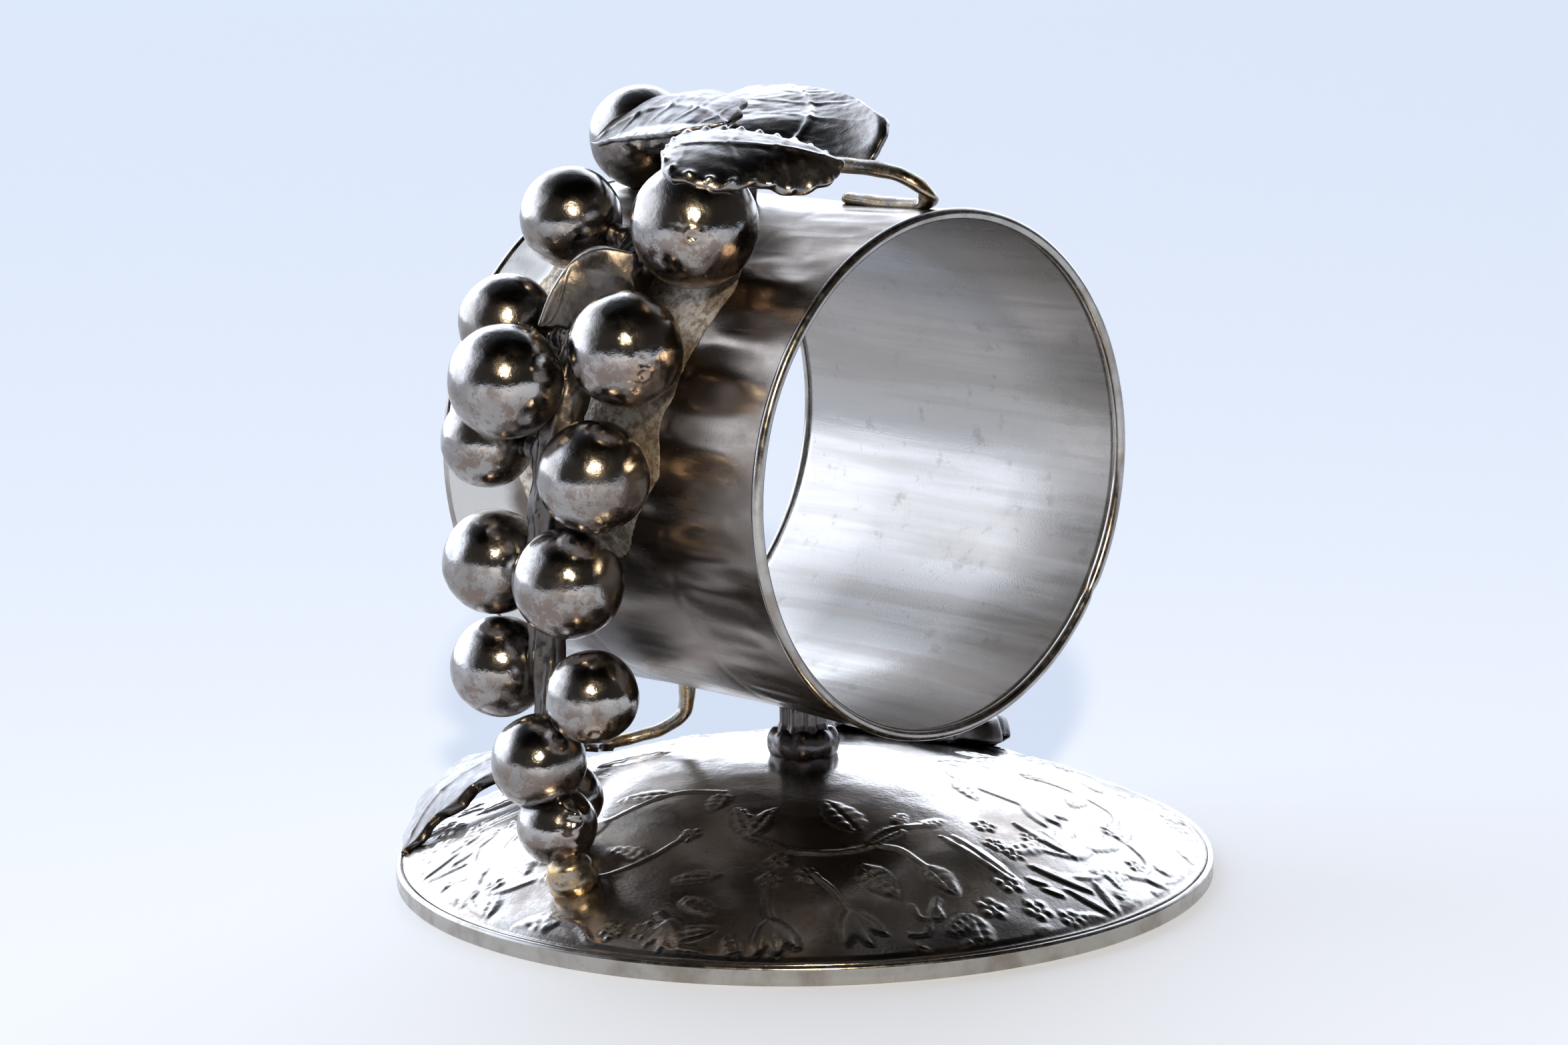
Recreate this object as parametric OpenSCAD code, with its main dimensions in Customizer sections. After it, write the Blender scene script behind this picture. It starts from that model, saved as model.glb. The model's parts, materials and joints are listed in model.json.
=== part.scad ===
// Figural napkin ring: a sleeve on a round foot, with a bunch of grapes and vine leaves.
// Millimetres. Origin at the middle of the foot's underside, +Z up, sleeve along X,
// grapes on the -Y side.

/* [Foot] */
// Outside diameter of the foot
foot_d = 68.6; // [56:0.1:84]
// Height of the upright edge wire
edge_h = 1.2; // [0.8:0.1:2]
// Rise of the saucer above the edge wire
foot_rise = 8.8; // [6:0.1:11]
// Thickness of the stamped sheet
foot_sheet = 0.8; // [0.5:0.05:1]
// Width of the edge wire, measured along a radius
edge_w = 1.6; // [1.2:0.1:2.2]

/* [Post] */
// Diameter of the bead at the bottom of the post
collar_d = 6.1; // [5:0.1:8]
// Height of the bead above the top of the saucer
collar_h = 2.2; // [1.5:0.1:3]
// Diameter of the fluted neck
neck_d = 4.2; // [3:0.1:5]
// Clear height of the neck between the bead and the sleeve
neck_h = 2.4; // [1.5:0.1:5]
// Number of flutes around the neck
flutes = 8; // [6:1:12]
// Depth of each flute
flute_depth = 0.35; // [0.2:0.05:0.5]

/* [Sleeve] */
// Inside diameter of the straight middle band
bore_d = 40.4; // [32:0.1:50]
// Thickness of the sleeve's sheet
sleeve_sheet = 0.7; // [0.5:0.05:1]
// Overall length of the sleeve, over both rim wires
sleeve_len = 37.6; // [30:0.1:48]
// Length of the straight middle band
band_len = 14; // [10:0.5:18]
// How far each end flares out, on the radius
flare = 0.45; // [0.2:0.05:1.5]
// Diameter of the rim wires
rim_wire_d = 1; // [0.9:0.05:1.6]
// How far the sleeve's middle stands behind the post, along X
sleeve_setback = 1.6; // [0:0.1:3]

/* [Bunch] */
// Thickness of the stalk where it leaves the top of the sleeve
stalk_d = 4.6; // [3.6:0.1:5.6]
// Thickness of the stalk at its tip
stalk_tip_d = 2.6; // [2:0.1:3.4]
// Thickness of the short pedicels that carry the berries
pedicel_d = 2.2; // [1.6:0.1:3]

/* [Leaves and stems] */
// Thickness of the leaf sheet
leaf_sheet = 0.6; // [0.5:0.05:0.9]
// Radius that the upper leaves are domed to
top_leaf_dome = 14; // [11:0.5:20]
// Radius that the leaves on the foot are domed to
foot_leaf_dome = 12; // [10.5:0.5:16]
// Depth of the teeth along a leaf's edge
tooth = 0.35; // [0.2:0.05:0.6]
// Thickness of the vine stem above the sleeve
vine_d = 1.5; // [1.2:0.1:2]
// Thickness of the tendrils under the sleeve
tendril_d = 1.4; // [1.1:0.1:1.8]

/* [Hidden] */
foot_r = foot_d / 2;
saucer_r = (foot_r * foot_r + foot_rise * foot_rise) / (2 * foot_rise);
saucer_top = edge_h + foot_rise;
saucer_centre = saucer_top - saucer_r;
collar_top = saucer_top + collar_h;
bore_r = bore_d / 2;
sleeve_r = bore_r + sleeve_sheet;
half_len = sleeve_len / 2;
half_band = band_len / 2;
rim_wire_r = rim_wire_d / 2;
sleeve_end = half_len - rim_wire_r;
rim_r = bore_r + sleeve_sheet / 2 + flare;
axis_z = collar_top + neck_h + sleeve_r;
sleeve_top = axis_z + sleeve_r;
flare_steps = 8;
flare_power = 1.6;
round_fn = 96;
saucer_fn = 240;
berry_fn = 64;
// Joints in the stalk stand a little proud of its rods
joint_swell = 1.1;
stem_sides = 10;

// Berries that lie against the sleeve:
// place along X, turn from the top towards -Y, gap to the sleeve, diameter
draped_berries = [
    [-16.2, 5, 0.1, 8.7],
    [-10.6, 37, 0.1, 8.4],
    [4.9, 37.5, 0.25, 10.2],
    [-10.9, 61, 0.15, 8.1],
    [-4.8, 72.3, 3.4, 9.3],
    [4.2, 63, 0.25, 9.2],
    [-10.5, 83, 0.15, 7.7],
    [3, 86, 0.15, 9]
];

// Berries that hang free below the sleeve's axis:
// place along X, distance out from the sleeve, share of the drop from foot to axis, diameter
hanging_berries = [
    [-9.7, 4.1, 0.78, 8.6],
    [0.3, 5.1, 0.77, 9],
    [-9.3, 4.1, 0.5, 8.3],
    [3.9, 6.1, 0.5, 7.5],
    [-1.5, 7.1, 0.315, 7.7],
    [-0.4, 6.3, 0.14, 6.5],
    [-3.5, 2.6, 0.135, 6.2]
];
// The bud at the tip of the bunch, given in the same way
tail_bud = [2, 7, 0.032, 4.3];

// Stalk: the stretch along the sleeve (X, turn, height of its middle above the sleeve) ...
stalk_on_sleeve = [
    [-5, 4, 0.6],
    [-4.6, 20, 0.8],
    [-3.4, 38, 1.2],
    [-3.2, 55, 2],
    [-3.4, 72, 2.6],
    [-3.8, 90, 2.8]
];
// ... and the stretch that hangs free (X, distance out, share of the drop)
stalk_hanging = [
    [-4.6, 3, 0.8],
    [-4.6, 3.2, 0.55],
    [-3.4, 3.6, 0.38],
    [-2.2, 4.2, 0.25]
];

// Each leaf and the bract: place, then heading, dive and roll, then length and width of the blade.
// The bract's place is X, turn and height above the sleeve; an upper leaf's is X, Y and height
// above the sleeve's top; a foot leaf's is X, Y and height above the saucer.
bract_seat = [-2.4, 50, 5];
bract_turn = [-125, 38, 8];
bract_size = [8, 5.4];
bract_dome = 5;
front_leaf_seat = [5.4, -11.4, 5.8];
front_leaf_turn = [217, 2, -24];
front_leaf_size = [16.5, 9.5];
left_leaf_seat = [-10.4, -4.8, 7.6];
left_leaf_turn = [165, 8, -17];
left_leaf_size = [15, 12];
right_leaf_seat = [-2, 3.8, 7.2];
right_leaf_turn = [136, -14, 0];
right_leaf_size = [13.5, 13];
left_foot_leaf_seat = [-24.5, -15, 4.6];
left_foot_leaf_turn = [254, 25, 16];
left_foot_leaf_size = [17, 14.5];
right_foot_leaf_seat = [-5.3, 19.8, 4.2];
right_foot_leaf_turn = [103, 25, -16];
right_foot_leaf_size = [18, 14.5];

// Vine stem above the sleeve (X, Y, height of its middle above the sleeve's top)
vine_stem_route = [
    [-6, -2.5, 1.6],
    [-2, -3.5, 3],
    [3, -4.4, 3.8],
    [8, -3.2, 4],
    [12, -1.8, 3.8],
    [14.8, -0.6, 2.6],
    [14.4, 0.8, 1.3],
    [11.6, 1.8, 0.75],
    [8.6, 2, 0.85]
];
// Tendril to the left foot leaf: start under the sleeve, then (X, Y, height above the saucer)
tendril_left_start = [-12.6, -1.4];
tendril_left_route = [[-12.6, -1.5, 3.4], [-13.6, -2.4, 1.7], [-16.2, -4.6, 1], [-18.2, -7.6, 1.2]];
// Tendril to the right foot leaf, given in the same way
tendril_right_start = [-6.6, 7];
tendril_right_route = [[-6.6, 7.2, 3.4], [-6.4, 8.2, 2.2], [-5.6, 10, 1.9], [-5.2, 12.6, 2.2]];

function berry_name(i) = str("grape_", i < 10 ? "0" : "", i);
function unit(v) = v / norm(v);
function saucer_z(x, y) = saucer_centre + sqrt(saucer_r * saucer_r - x * x - y * y);
function on_sleeve(x, turn, height) = [
    x, -(sleeve_r + height) * sin(turn), axis_z + (sleeve_r + height) * cos(turn)];
// Hanging places run from the saucer under them up to the level of the sleeve's axis
function hung(x, out, share) =
    let (y = -(sleeve_r + out), reach = min(norm([x, y]), foot_r),
         low = saucer_z(reach, 0))
    [x, y, low + share * (axis_z - low)];

berry_places = concat(
    [for (b = draped_berries) on_sleeve(b[0], b[1], b[2] + b[3] / 2)],
    [for (b = hanging_berries) hung(b[0], b[1], b[2])]
);
berry_radii = concat(
    [for (b = draped_berries) b[3] / 2],
    [for (b = hanging_berries) b[3] / 2]
);
bract_place = on_sleeve(bract_seat[0], bract_seat[1], bract_seat[2]);
bract_root = on_sleeve(bract_seat[0], bract_seat[1], bract_seat[2] - leaf_sheet * 2);
tail_place = hung(tail_bud[0], tail_bud[1], tail_bud[2]);
stalk_points = concat(
    [for (s = stalk_on_sleeve) on_sleeve(s[0], s[1], s[2])],
    [for (s = stalk_hanging) hung(s[0], s[1], s[2])]
);

// Smooth curve through a list of points (Catmull-Rom), steps to each span
function between(p, i, t) =
    let (a = p[max(i - 1, 0)], b = p[i], c = p[i + 1], d = p[min(i + 2, len(p) - 1)])
    (2 * b + (c - a) * t + (2 * a - 5 * b + 4 * c - d) * t * t
     + (3 * b - a - 3 * c + d) * t * t * t) / 2;
function smooth(p, steps) = concat(
    [for (i = [0:len(p) - 2]) for (k = [0:steps - 1]) between(p, i, k / steps)],
    [p[len(p) - 1]]);

// The point of a list that lies closest to a place
function nearest(list, place, i = 0, best = 0) =
    i == len(list) ? list[best]
    : nearest(list, place, i + 1, norm(list[i] - place) < norm(list[best] - place) ? i : best);

// A round stem along a route, from one radius to another; side is never along the route
module stem(route, r_start, r_end, side) {
    last = len(route) - 1;
    points = [for (i = [0:last])
        let (ahead = unit(route[min(i + 1, last)] - route[max(i - 1, 0)]),
             across = unit(cross(ahead, side)),
             over = cross(across, ahead),
             r = r_start + (r_end - r_start) * i / last)
        for (k = [0:stem_sides - 1])
            route[i] + r * (cos(360 * k / stem_sides) * across
                            + sin(360 * k / stem_sides) * over)];
    skin = [for (i = [0:last - 1]) for (k = [0:stem_sides - 1])
        let (next = (k + 1) % stem_sides)
        [i * stem_sides + k, (i + 1) * stem_sides + k,
         (i + 1) * stem_sides + next, i * stem_sides + next]];
    start_cap = [[for (k = [0:stem_sides - 1]) k]];
    end_cap = [[for (k = [stem_sides - 1:-1:0]) last * stem_sides + k]];
    polyhedron(points, concat(skin, start_cap, end_cap), convexity = 6);
}

// A straight rod between two points
module rod(from, to, r_from, r_to) {
    way = to - from;
    translate(from)
        rotate([0, acos(way[2] / norm(way)), atan2(way[1], way[0])])
            cylinder(r1 = r_from, r2 = r_to, h = norm(way), $fn = 32);
}

// Edge of a vine leaf: five lobes, teeth, and a notch where the petiole joins, tip along +X
function leaf_reach(a) =
    0.86 + 0.1 * cos(5 * a) - 0.42 * exp(-pow((180 - abs(a)) / 20, 2));
module leaf_outline(length, width) {
    teeth = 30;
    polygon([for (k = [0:2 * teeth - 1])
        let (a = 180 * k / teeth - 180,
             reach = leaf_reach(a) / 0.96,
             bite = k % 2 == 0 ? tooth : 0)
        [(reach * length / 2 - bite) * cos(a), (reach * width / 2 - bite) * sin(a)]]);
}

// A leaf pressed from sheet: the outline cut from a domed shell, top of the dome at the origin
module leaf(size, dome) {
    intersection() {
        translate([0, 0, -dome]) difference() {
            sphere(dome, $fn = round_fn);
            sphere(dome - leaf_sheet, $fn = round_fn);
        }
        translate([0, 0, -dome * 0.8]) linear_extrude(dome) leaf_outline(size[0], size[1]);
    }
}

// A turn is heading, which turns the tip about Z, dive, which points it down, and roll,
// which turns the blade about its midrib
module set_leaf(place, turn) {
    translate(place) rotate([turn[2], turn[1], turn[0]]) children();
}

// The same, with the seat's height taken from the top of the sleeve, or from the saucer
module set_upper_leaf(seat, turn) {
    set_leaf([seat[0], seat[1], sleeve_top + seat[2]], turn) children();
}
module set_foot_leaf(seat, turn) {
    set_leaf([seat[0], seat[1], saucer_z(seat[0], seat[1]) + seat[2]], turn) children();
}

module sleeve_frame() {
    translate([-sleeve_setback, 0, axis_z]) rotate([0, 90, 0]) children();
}

module saucer_solid() {
    translate([0, 0, saucer_centre]) sphere(saucer_r, $fn = saucer_fn);
}

module sleeve_solid() {
    sleeve_frame() rotate_extrude($fn = round_fn) polygon(concat(
        [[0, -sleeve_end]], sleeve_profile(sleeve_sheet), [[0, sleeve_end]]));
}

// The outside of the straight middle band, as a plain round bar
module sleeve_band() {
    sleeve_frame() cylinder(r = sleeve_r, h = sleeve_len, center = true, $fn = saucer_fn);
}

module rim_torus(side) {
    sleeve_frame() translate([0, 0, side * sleeve_end])
        rotate_extrude($fn = round_fn) translate([rim_r, 0]) circle(rim_wire_r, $fn = 32);
}

// Radius and height along the sleeve, at a distance skin outside the bore
function flare_at(z) =
    abs(z) <= half_band ? 0
    : flare * pow((abs(z) - half_band) / (sleeve_end - half_band), flare_power);
function sleeve_profile(skin) =
    let (step = (sleeve_end - half_band) / flare_steps)
    concat(
        [for (i = [flare_steps:-1:0]) let (z = -half_band - i * step)
            [bore_r + skin + flare_at(z), z]],
        [for (i = [0:flare_steps]) let (z = half_band + i * step)
            [bore_r + skin + flare_at(z), z]]);

module berries() {
    for (i = [0:len(berry_places) - 1])
        translate(berry_places[i]) sphere(berry_radii[i], $fn = berry_fn);
}

module foot_dome() {
    color("gray") intersection() {
        difference() {
            saucer_solid();
            translate([0, 0, saucer_centre]) sphere(saucer_r - foot_sheet, $fn = saucer_fn);
        }
        translate([0, 0, edge_h]) cylinder(r = foot_r, h = foot_rise + 1, $fn = saucer_fn);
    }
}

module foot_rim() {
    color("silver") rotate_extrude($fn = saucer_fn)
        translate([foot_r - edge_w, 0]) square([edge_w, edge_h]);
}

module post_collar() {
    color("darkgray") difference() {
        translate([0, 0, saucer_top - 1]) rotate_extrude($fn = round_fn) bead_profile();
        saucer_solid();
    }
}

// Half section of the bead: straight below, rounded over at the top
module bead_profile() {
    round_r = collar_h / 2;
    polygon(concat(
        [[0, 0], [collar_d / 2 - 0.4, 0]],
        [for (a = [-60:20:90])
            [collar_d / 2 - round_r + round_r * cos(a),
             1 + collar_h / 2 + round_r * sin(a)]],
        [[0, 1 + collar_h]]));
}

module post_neck() {
    color("gray") difference() {
        translate([0, 0, collar_top])
            cylinder(d = neck_d, h = neck_h + sleeve_r, $fn = 64);
        for (i = [0:flutes - 1]) rotate(360 * i / flutes)
            translate([neck_d / 2 + 0.5 - flute_depth, 0, collar_top - 1])
                cylinder(r = 0.5, h = neck_h + sleeve_r + 2, $fn = 24);
        sleeve_band();
    }
}

module ring_sleeve() {
    color("silver") difference() {
        sleeve_solid();
        sleeve_frame() cylinder(r = bore_r, h = band_len + 0.02, center = true, $fn = round_fn);
        for (side = [-1, 1]) sleeve_frame() rotate_extrude($fn = round_fn)
            polygon(concat(
                [[0, side * half_band]],
                [for (i = [0:flare_steps])
                    let (z = side * (half_band + i * (sleeve_end - half_band) / flare_steps))
                    [bore_r + flare_at(z), z]],
                [[bore_r + flare, side * half_len], [0, side * half_len]]));
        rim_torus(-1);
        rim_torus(1);
    }
}

module rim_wire_front() {
    color("lightgray") rim_torus(1);
}

module rim_wire_back() {
    color("lightgray") rim_torus(-1);
}

// Each berry gives way to the ones before it, so neighbours meet face to face
module grape(i) {
    color("dimgray") difference() {
        translate(berry_places[i - 1]) sphere(berry_radii[i - 1], $fn = berry_fn);
        if (i > 1) for (j = [0:i - 2])
            if (norm(berry_places[j] - berry_places[i - 1]) < berry_radii[j] + berry_radii[i - 1])
                translate(berry_places[j]) sphere(berry_radii[j], $fn = berry_fn);
    }
}

module grape_tail() {
    color("peru") difference() {
        translate(tail_place) sphere(tail_bud[3] / 2, $fn = berry_fn);
        berries();
        saucer_solid();
    }
}

// Rods from point to point with rounded joints, and a pedicel from the stalk to each berry
module stalk_body() {
    last = len(stalk_points) - 1;
    radii = [for (i = [0:last]) (stalk_d + (stalk_tip_d - stalk_d) * i / last) / 2];
    for (i = [0:last]) translate(stalk_points[i]) sphere(radii[i] * joint_swell, $fn = 48);
    for (i = [0:last - 1]) rod(stalk_points[i], stalk_points[i + 1], radii[i], radii[i + 1]);
    for (place = concat(berry_places, [bract_root]))
        rod(nearest(stalk_points, place), place, pedicel_d / 2, pedicel_d / 2);
}

module bunch_stalk() {
    color("darkgray") difference() {
        stalk_body();
        berries();
        translate(tail_place) sphere(tail_bud[3] / 2, $fn = berry_fn);
        bract_blank();
        sleeve_band();
    }
}

module bract_blank() {
    set_leaf(bract_place, bract_turn) leaf(bract_size, bract_dome);
}

module bract() {
    color("silver") difference() {
        bract_blank();
        berries();
    }
}

module leaf_top_front() {
    color("silver") difference() {
        set_upper_leaf(front_leaf_seat, front_leaf_turn) leaf(front_leaf_size, top_leaf_dome);
        berries();
    }
}

module leaf_top_left() {
    color("gray") difference() {
        set_upper_leaf(left_leaf_seat, left_leaf_turn) leaf(left_leaf_size, top_leaf_dome);
        berries();
        leaf_top_front();
    }
}

module leaf_top_right() {
    color("gray") difference() {
        set_upper_leaf(right_leaf_seat, right_leaf_turn) leaf(right_leaf_size, top_leaf_dome);
        leaf_top_left();
        leaf_top_front();
    }
}

module vine_stem_top() {
    route = [for (p = vine_stem_route) [p[0], p[1], sleeve_top + p[2]]];
    color("darkkhaki") difference() {
        stem(smooth(route, 4), vine_d / 2, vine_d / 2, [0.3, -1, 0.1]);
        berries();
        leaf_top_front();
        leaf_top_left();
        leaf_top_right();
        sleeve_solid();
    }
}

module leaf_foot_left() {
    color("gray") difference() {
        set_foot_leaf(left_foot_leaf_seat, left_foot_leaf_turn)
            leaf(left_foot_leaf_size, foot_leaf_dome);
        saucer_solid();
        berries();
    }
}

module leaf_foot_right() {
    color("gray") difference() {
        set_foot_leaf(right_foot_leaf_seat, right_foot_leaf_turn)
            leaf(right_foot_leaf_size, foot_leaf_dome);
        saucer_solid();
    }
}

module tendril(start, route) {
    under_sleeve = axis_z - sqrt(pow(sleeve_r, 2) - pow(start[1], 2));
    points = concat(
        [[start[0], start[1], under_sleeve + 0.6]],
        [for (p = route) [p[0], p[1], saucer_z(p[0], p[1]) + p[2]]]);
    stem(smooth(points, 4), tendril_d / 2, tendril_d / 2, [0.6, -1, 0]);
}

module tendril_left() {
    color("peru") difference() {
        tendril(tendril_left_start, tendril_left_route);
        sleeve_solid();
        saucer_solid();
        leaf_foot_left();
    }
}

module tendril_right() {
    color("peru") difference() {
        tendril(tendril_right_start, tendril_right_route);
        sleeve_solid();
        saucer_solid();
        leaf_foot_right();
    }
}

foot_dome();
foot_rim();
post_collar();
post_neck();
ring_sleeve();
rim_wire_front();
rim_wire_back();
for (i = [1:len(berry_places)]) grape(i);
grape_tail();
bunch_stalk();
bract();
leaf_top_front();
leaf_top_left();
leaf_top_right();
vine_stem_top();
leaf_foot_left();
tendril_left();
leaf_foot_right();
tendril_right();
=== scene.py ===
"""Figural napkin ring: a sleeve on a round stamped foot, with a bunch of grapes and vine leaves.

Metres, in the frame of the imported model: origin under the middle of the foot, +Z up, the sleeve
along X with its front rim towards +X, the bunch on the -Y side. Shapes are worked out in
millimetres and turned into metres as each piece is made.
"""
import json
import math

import bmesh
import bpy
import numpy as np
from mathutils import Matrix, Vector


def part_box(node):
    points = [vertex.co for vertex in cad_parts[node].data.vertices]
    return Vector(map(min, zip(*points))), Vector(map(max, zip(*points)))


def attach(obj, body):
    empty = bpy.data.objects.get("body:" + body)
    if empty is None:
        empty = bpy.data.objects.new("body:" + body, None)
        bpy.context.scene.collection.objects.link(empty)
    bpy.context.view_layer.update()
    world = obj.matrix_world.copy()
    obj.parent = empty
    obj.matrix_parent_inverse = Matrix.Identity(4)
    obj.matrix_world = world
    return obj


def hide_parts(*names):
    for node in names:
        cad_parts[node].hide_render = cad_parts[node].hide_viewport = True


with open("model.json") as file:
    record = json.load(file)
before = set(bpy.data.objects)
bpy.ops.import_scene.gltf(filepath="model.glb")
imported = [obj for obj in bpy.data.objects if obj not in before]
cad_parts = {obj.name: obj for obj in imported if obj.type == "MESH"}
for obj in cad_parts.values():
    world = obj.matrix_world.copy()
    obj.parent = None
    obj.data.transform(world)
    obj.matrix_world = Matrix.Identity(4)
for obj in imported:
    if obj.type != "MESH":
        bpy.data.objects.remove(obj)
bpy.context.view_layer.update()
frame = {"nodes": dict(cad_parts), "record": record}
scene = bpy.context.scene
MM = 0.001


# ---------------------------------------------------------------- places taken from the frame

def box_mm(node):
    """Lowest and highest corner of a CAD node, in millimetres."""
    low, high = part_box(node)
    return np.array(low) / MM, np.array(high) / MM


def ball_of(node):
    """Centre and radius of a CAD berry: the sphere that fits its mesh best, then fits again
    without the points that a neighbour has cut."""
    mesh = frame["nodes"][node].data
    points = np.zeros(len(mesh.vertices) * 3)
    mesh.vertices.foreach_get("co", points)
    points = points.reshape(-1, 3) / MM
    keep = np.ones(len(points), bool)
    for _ in range(6):
        p = points[keep]
        terms = np.c_[2 * p, np.ones(len(p))]
        fit = np.linalg.lstsq(terms, (p * p).sum(1), rcond=None)[0]
        centre = fit[:3]
        radius = math.sqrt(fit[3] + centre @ centre)
        off = np.abs(np.linalg.norm(points - centre, axis=1) - radius)
        keep = off <= max(0.02, np.quantile(off, 0.8))
    return centre, radius


mounts = {m["name"]: m for m in frame["record"]["mounts"]}
BORE_R = mounts["sleeve_bore"]["dims"]["r_mm"]
SLEEVE_X, _, AXIS_Z = np.array(mounts["sleeve_bore"]["pos_m"]) / MM
SHEET_T = 0.7
SLEEVE_R = BORE_R + SHEET_T
SLEEVE_TOP = AXIS_Z + SLEEVE_R
HALF_BAND = mounts["sleeve_bore"]["dims"]["length_mm"] / 2
RIM_FRONT_X = box_mm("rim_wire_front")[1][0]
WIRE_R = (box_mm("rim_wire_front")[1][0] - box_mm("rim_wire_front")[0][0]) / 2
RIM_R = box_mm("rim_wire_front")[1][1] - WIRE_R
SLEEVE_END = RIM_FRONT_X - WIRE_R - SLEEVE_X
FLARE = RIM_R - BORE_R - SHEET_T / 2
FOOT_R = box_mm("foot_rim")[1][0]
EDGE_H = box_mm("foot_rim")[1][2]
SAUCER_TOP = box_mm("foot_dome")[1][2]
FOOT_SHEET = 0.8
RISE = SAUCER_TOP - EDGE_H
SAUCER_R = (FOOT_R ** 2 + RISE ** 2) / (2 * RISE)
SAUCER_C = SAUCER_TOP - SAUCER_R
COLLAR_R = box_mm("post_collar")[1][0]
COLLAR_TOP = box_mm("post_collar")[1][2]
NECK_R = box_mm("post_neck")[1][0]
BERRIES = [ball_of("grape_%02d" % i) for i in range(1, 16)]
TAIL = ball_of("grape_tail")


def saucer_z(x, y):
    """Height of the foot's sphere at a place."""
    return SAUCER_C + np.sqrt(SAUCER_R ** 2 - x * x - y * y)


def on_sleeve(x, turn, height):
    """A point above the sleeve: place along X, degrees from the top to -Y, height above it."""
    a = math.radians(turn)
    return [x, -(SLEEVE_R + height) * math.sin(a), AXIS_Z + (SLEEVE_R + height) * math.cos(a)]


# ---------------------------------------------------------------- shared mesh work

def wave_field(points, length, seed, count=7):
    """Smooth unevenness from -1 to 1: the mean of sine waves of about one length in random
    directions and phases."""
    draw = np.random.default_rng(seed)
    ways = draw.normal(size=(count, 3))
    ways /= np.linalg.norm(ways, axis=1)[:, None]
    ways *= 2 * math.pi / (length * draw.uniform(0.75, 1.35, count))[:, None]
    phases = draw.uniform(0, 2 * math.pi, count)
    return np.sin(points @ ways.T + phases).mean(-1) * 1.8


def grid_quads(rows, columns, close_rows=False, close_columns=False, start=0):
    """Quads between the points of a grid, joined round in a direction that closes."""
    r, c = np.meshgrid(np.arange(rows if close_rows else rows - 1),
                       np.arange(columns if close_columns else columns - 1), indexing="ij")
    r2, c2 = (r + 1) % rows, (c + 1) % columns
    loop = [r * columns + c, r2 * columns + c, r2 * columns + c2, r * columns + c2]
    return (start + np.stack(loop, -1).reshape(-1, 4)).tolist()


def full_turn(count):
    """Equally spaced angles round a circle."""
    return np.linspace(0, 2 * math.pi, count, endpoint=False)


def fan(tip, ring):
    """Triangles from one point to a closed ring of points."""
    return [[tip, int(a), int(b)] for a, b in zip(ring, np.roll(ring, -1))]


def tube_faces(rows, columns, start=0):
    """Faces of a grid closed round its columns, with a point before and after it as its ends."""
    first, last = start, start + rows * columns + 1
    ring = np.arange(columns) + start + 1
    return (fan(first, ring) + grid_quads(rows, columns, close_columns=True, start=start + 1)
            + fan(last, ring[::-1] + (rows - 1) * columns))


def closed_mesh(name, points, faces):
    """A mesh from points in millimetres, with its faces turned outwards."""
    mesh = bpy.data.meshes.new(name)
    mesh.from_pydata((np.asarray(points) * MM).tolist(), [], faces)
    work = bmesh.new()
    work.from_mesh(mesh)
    bmesh.ops.recalc_face_normals(work, faces=work.faces)
    work.to_mesh(mesh)
    work.free()
    return mesh


def make_piece(name, points, faces, finish, nodes, marks=None):
    """Puts a closed surface, in millimetres, into the scene as a piece that replaces CAD nodes.
    marks are extra values on its points that its finish reads."""
    mesh = closed_mesh(name, points, faces)
    mesh.polygons.foreach_set("use_smooth", np.ones(len(mesh.polygons), bool))
    for mark, values in (marks or {}).items():
        layer = mesh.attributes.new(mark, "FLOAT", "POINT")
        layer.data.foreach_set("value", np.asarray(values, np.float32).ravel())
    mesh.materials.append(finish)
    piece = bpy.data.objects.new(name, mesh)
    scene.collection.objects.link(piece)
    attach(piece, "root")
    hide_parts(*nodes)
    return piece


def revolve(profile, columns):
    """Points of a closed profile of radius and height, turned about the Z axis."""
    profile = np.asarray(profile, float)
    a = full_turn(columns)
    ring = np.stack([np.cos(a), np.sin(a)], -1)
    flat = profile[:, None, :1] * ring[None]
    return np.concatenate([flat, np.repeat(profile[:, None, 1:], columns, 1)], -1)


def catmull(points, steps):
    """A smooth curve through a list of points, steps to each span."""
    p = np.asarray(points, float)
    p = np.vstack([2 * p[0] - p[1], p, 2 * p[-1] - p[-2]])
    t = np.linspace(0, 1, steps, endpoint=False)[:, None]
    spans = [0.5 * (2 * b + (c - a) * t + (2 * a - 5 * b + 4 * c - d) * t ** 2
                    + (3 * b - a - 3 * c + d) * t ** 3)
             for a, b, c, d in zip(p[:-3], p[1:-2], p[2:-1], p[3:])]
    return np.vstack(spans + [p[-2:-1]])


def stem_mesh(route, section, sides, side):
    """Points and faces of a stem: a closed section carried along a route. section(share, angle)
    gives its offsets across and over the route, by share of the length and angle round it."""
    ahead = np.gradient(route, axis=0)
    ahead /= np.linalg.norm(ahead, axis=1)[:, None]
    across = np.cross(ahead, side)
    across /= np.linalg.norm(across, axis=1)[:, None]
    over = np.cross(across, ahead)
    a, b = section(np.linspace(0, 1, len(route))[:, None], full_turn(sides)[None])
    body = route[:, None] + a[..., None] * across[:, None] + b[..., None] * over[:, None]
    points = np.vstack([route[:1], body.reshape(-1, 3), route[-1:]])
    return points, tube_faces(len(route), sides)


# ---------------------------------------------------------------- the stamped foot

def knob(d):
    """A rounded top: 1 in the middle, falling to 0 at a distance of 1."""
    return np.clip(1 - d * d, 0, None) ** 0.8


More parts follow.
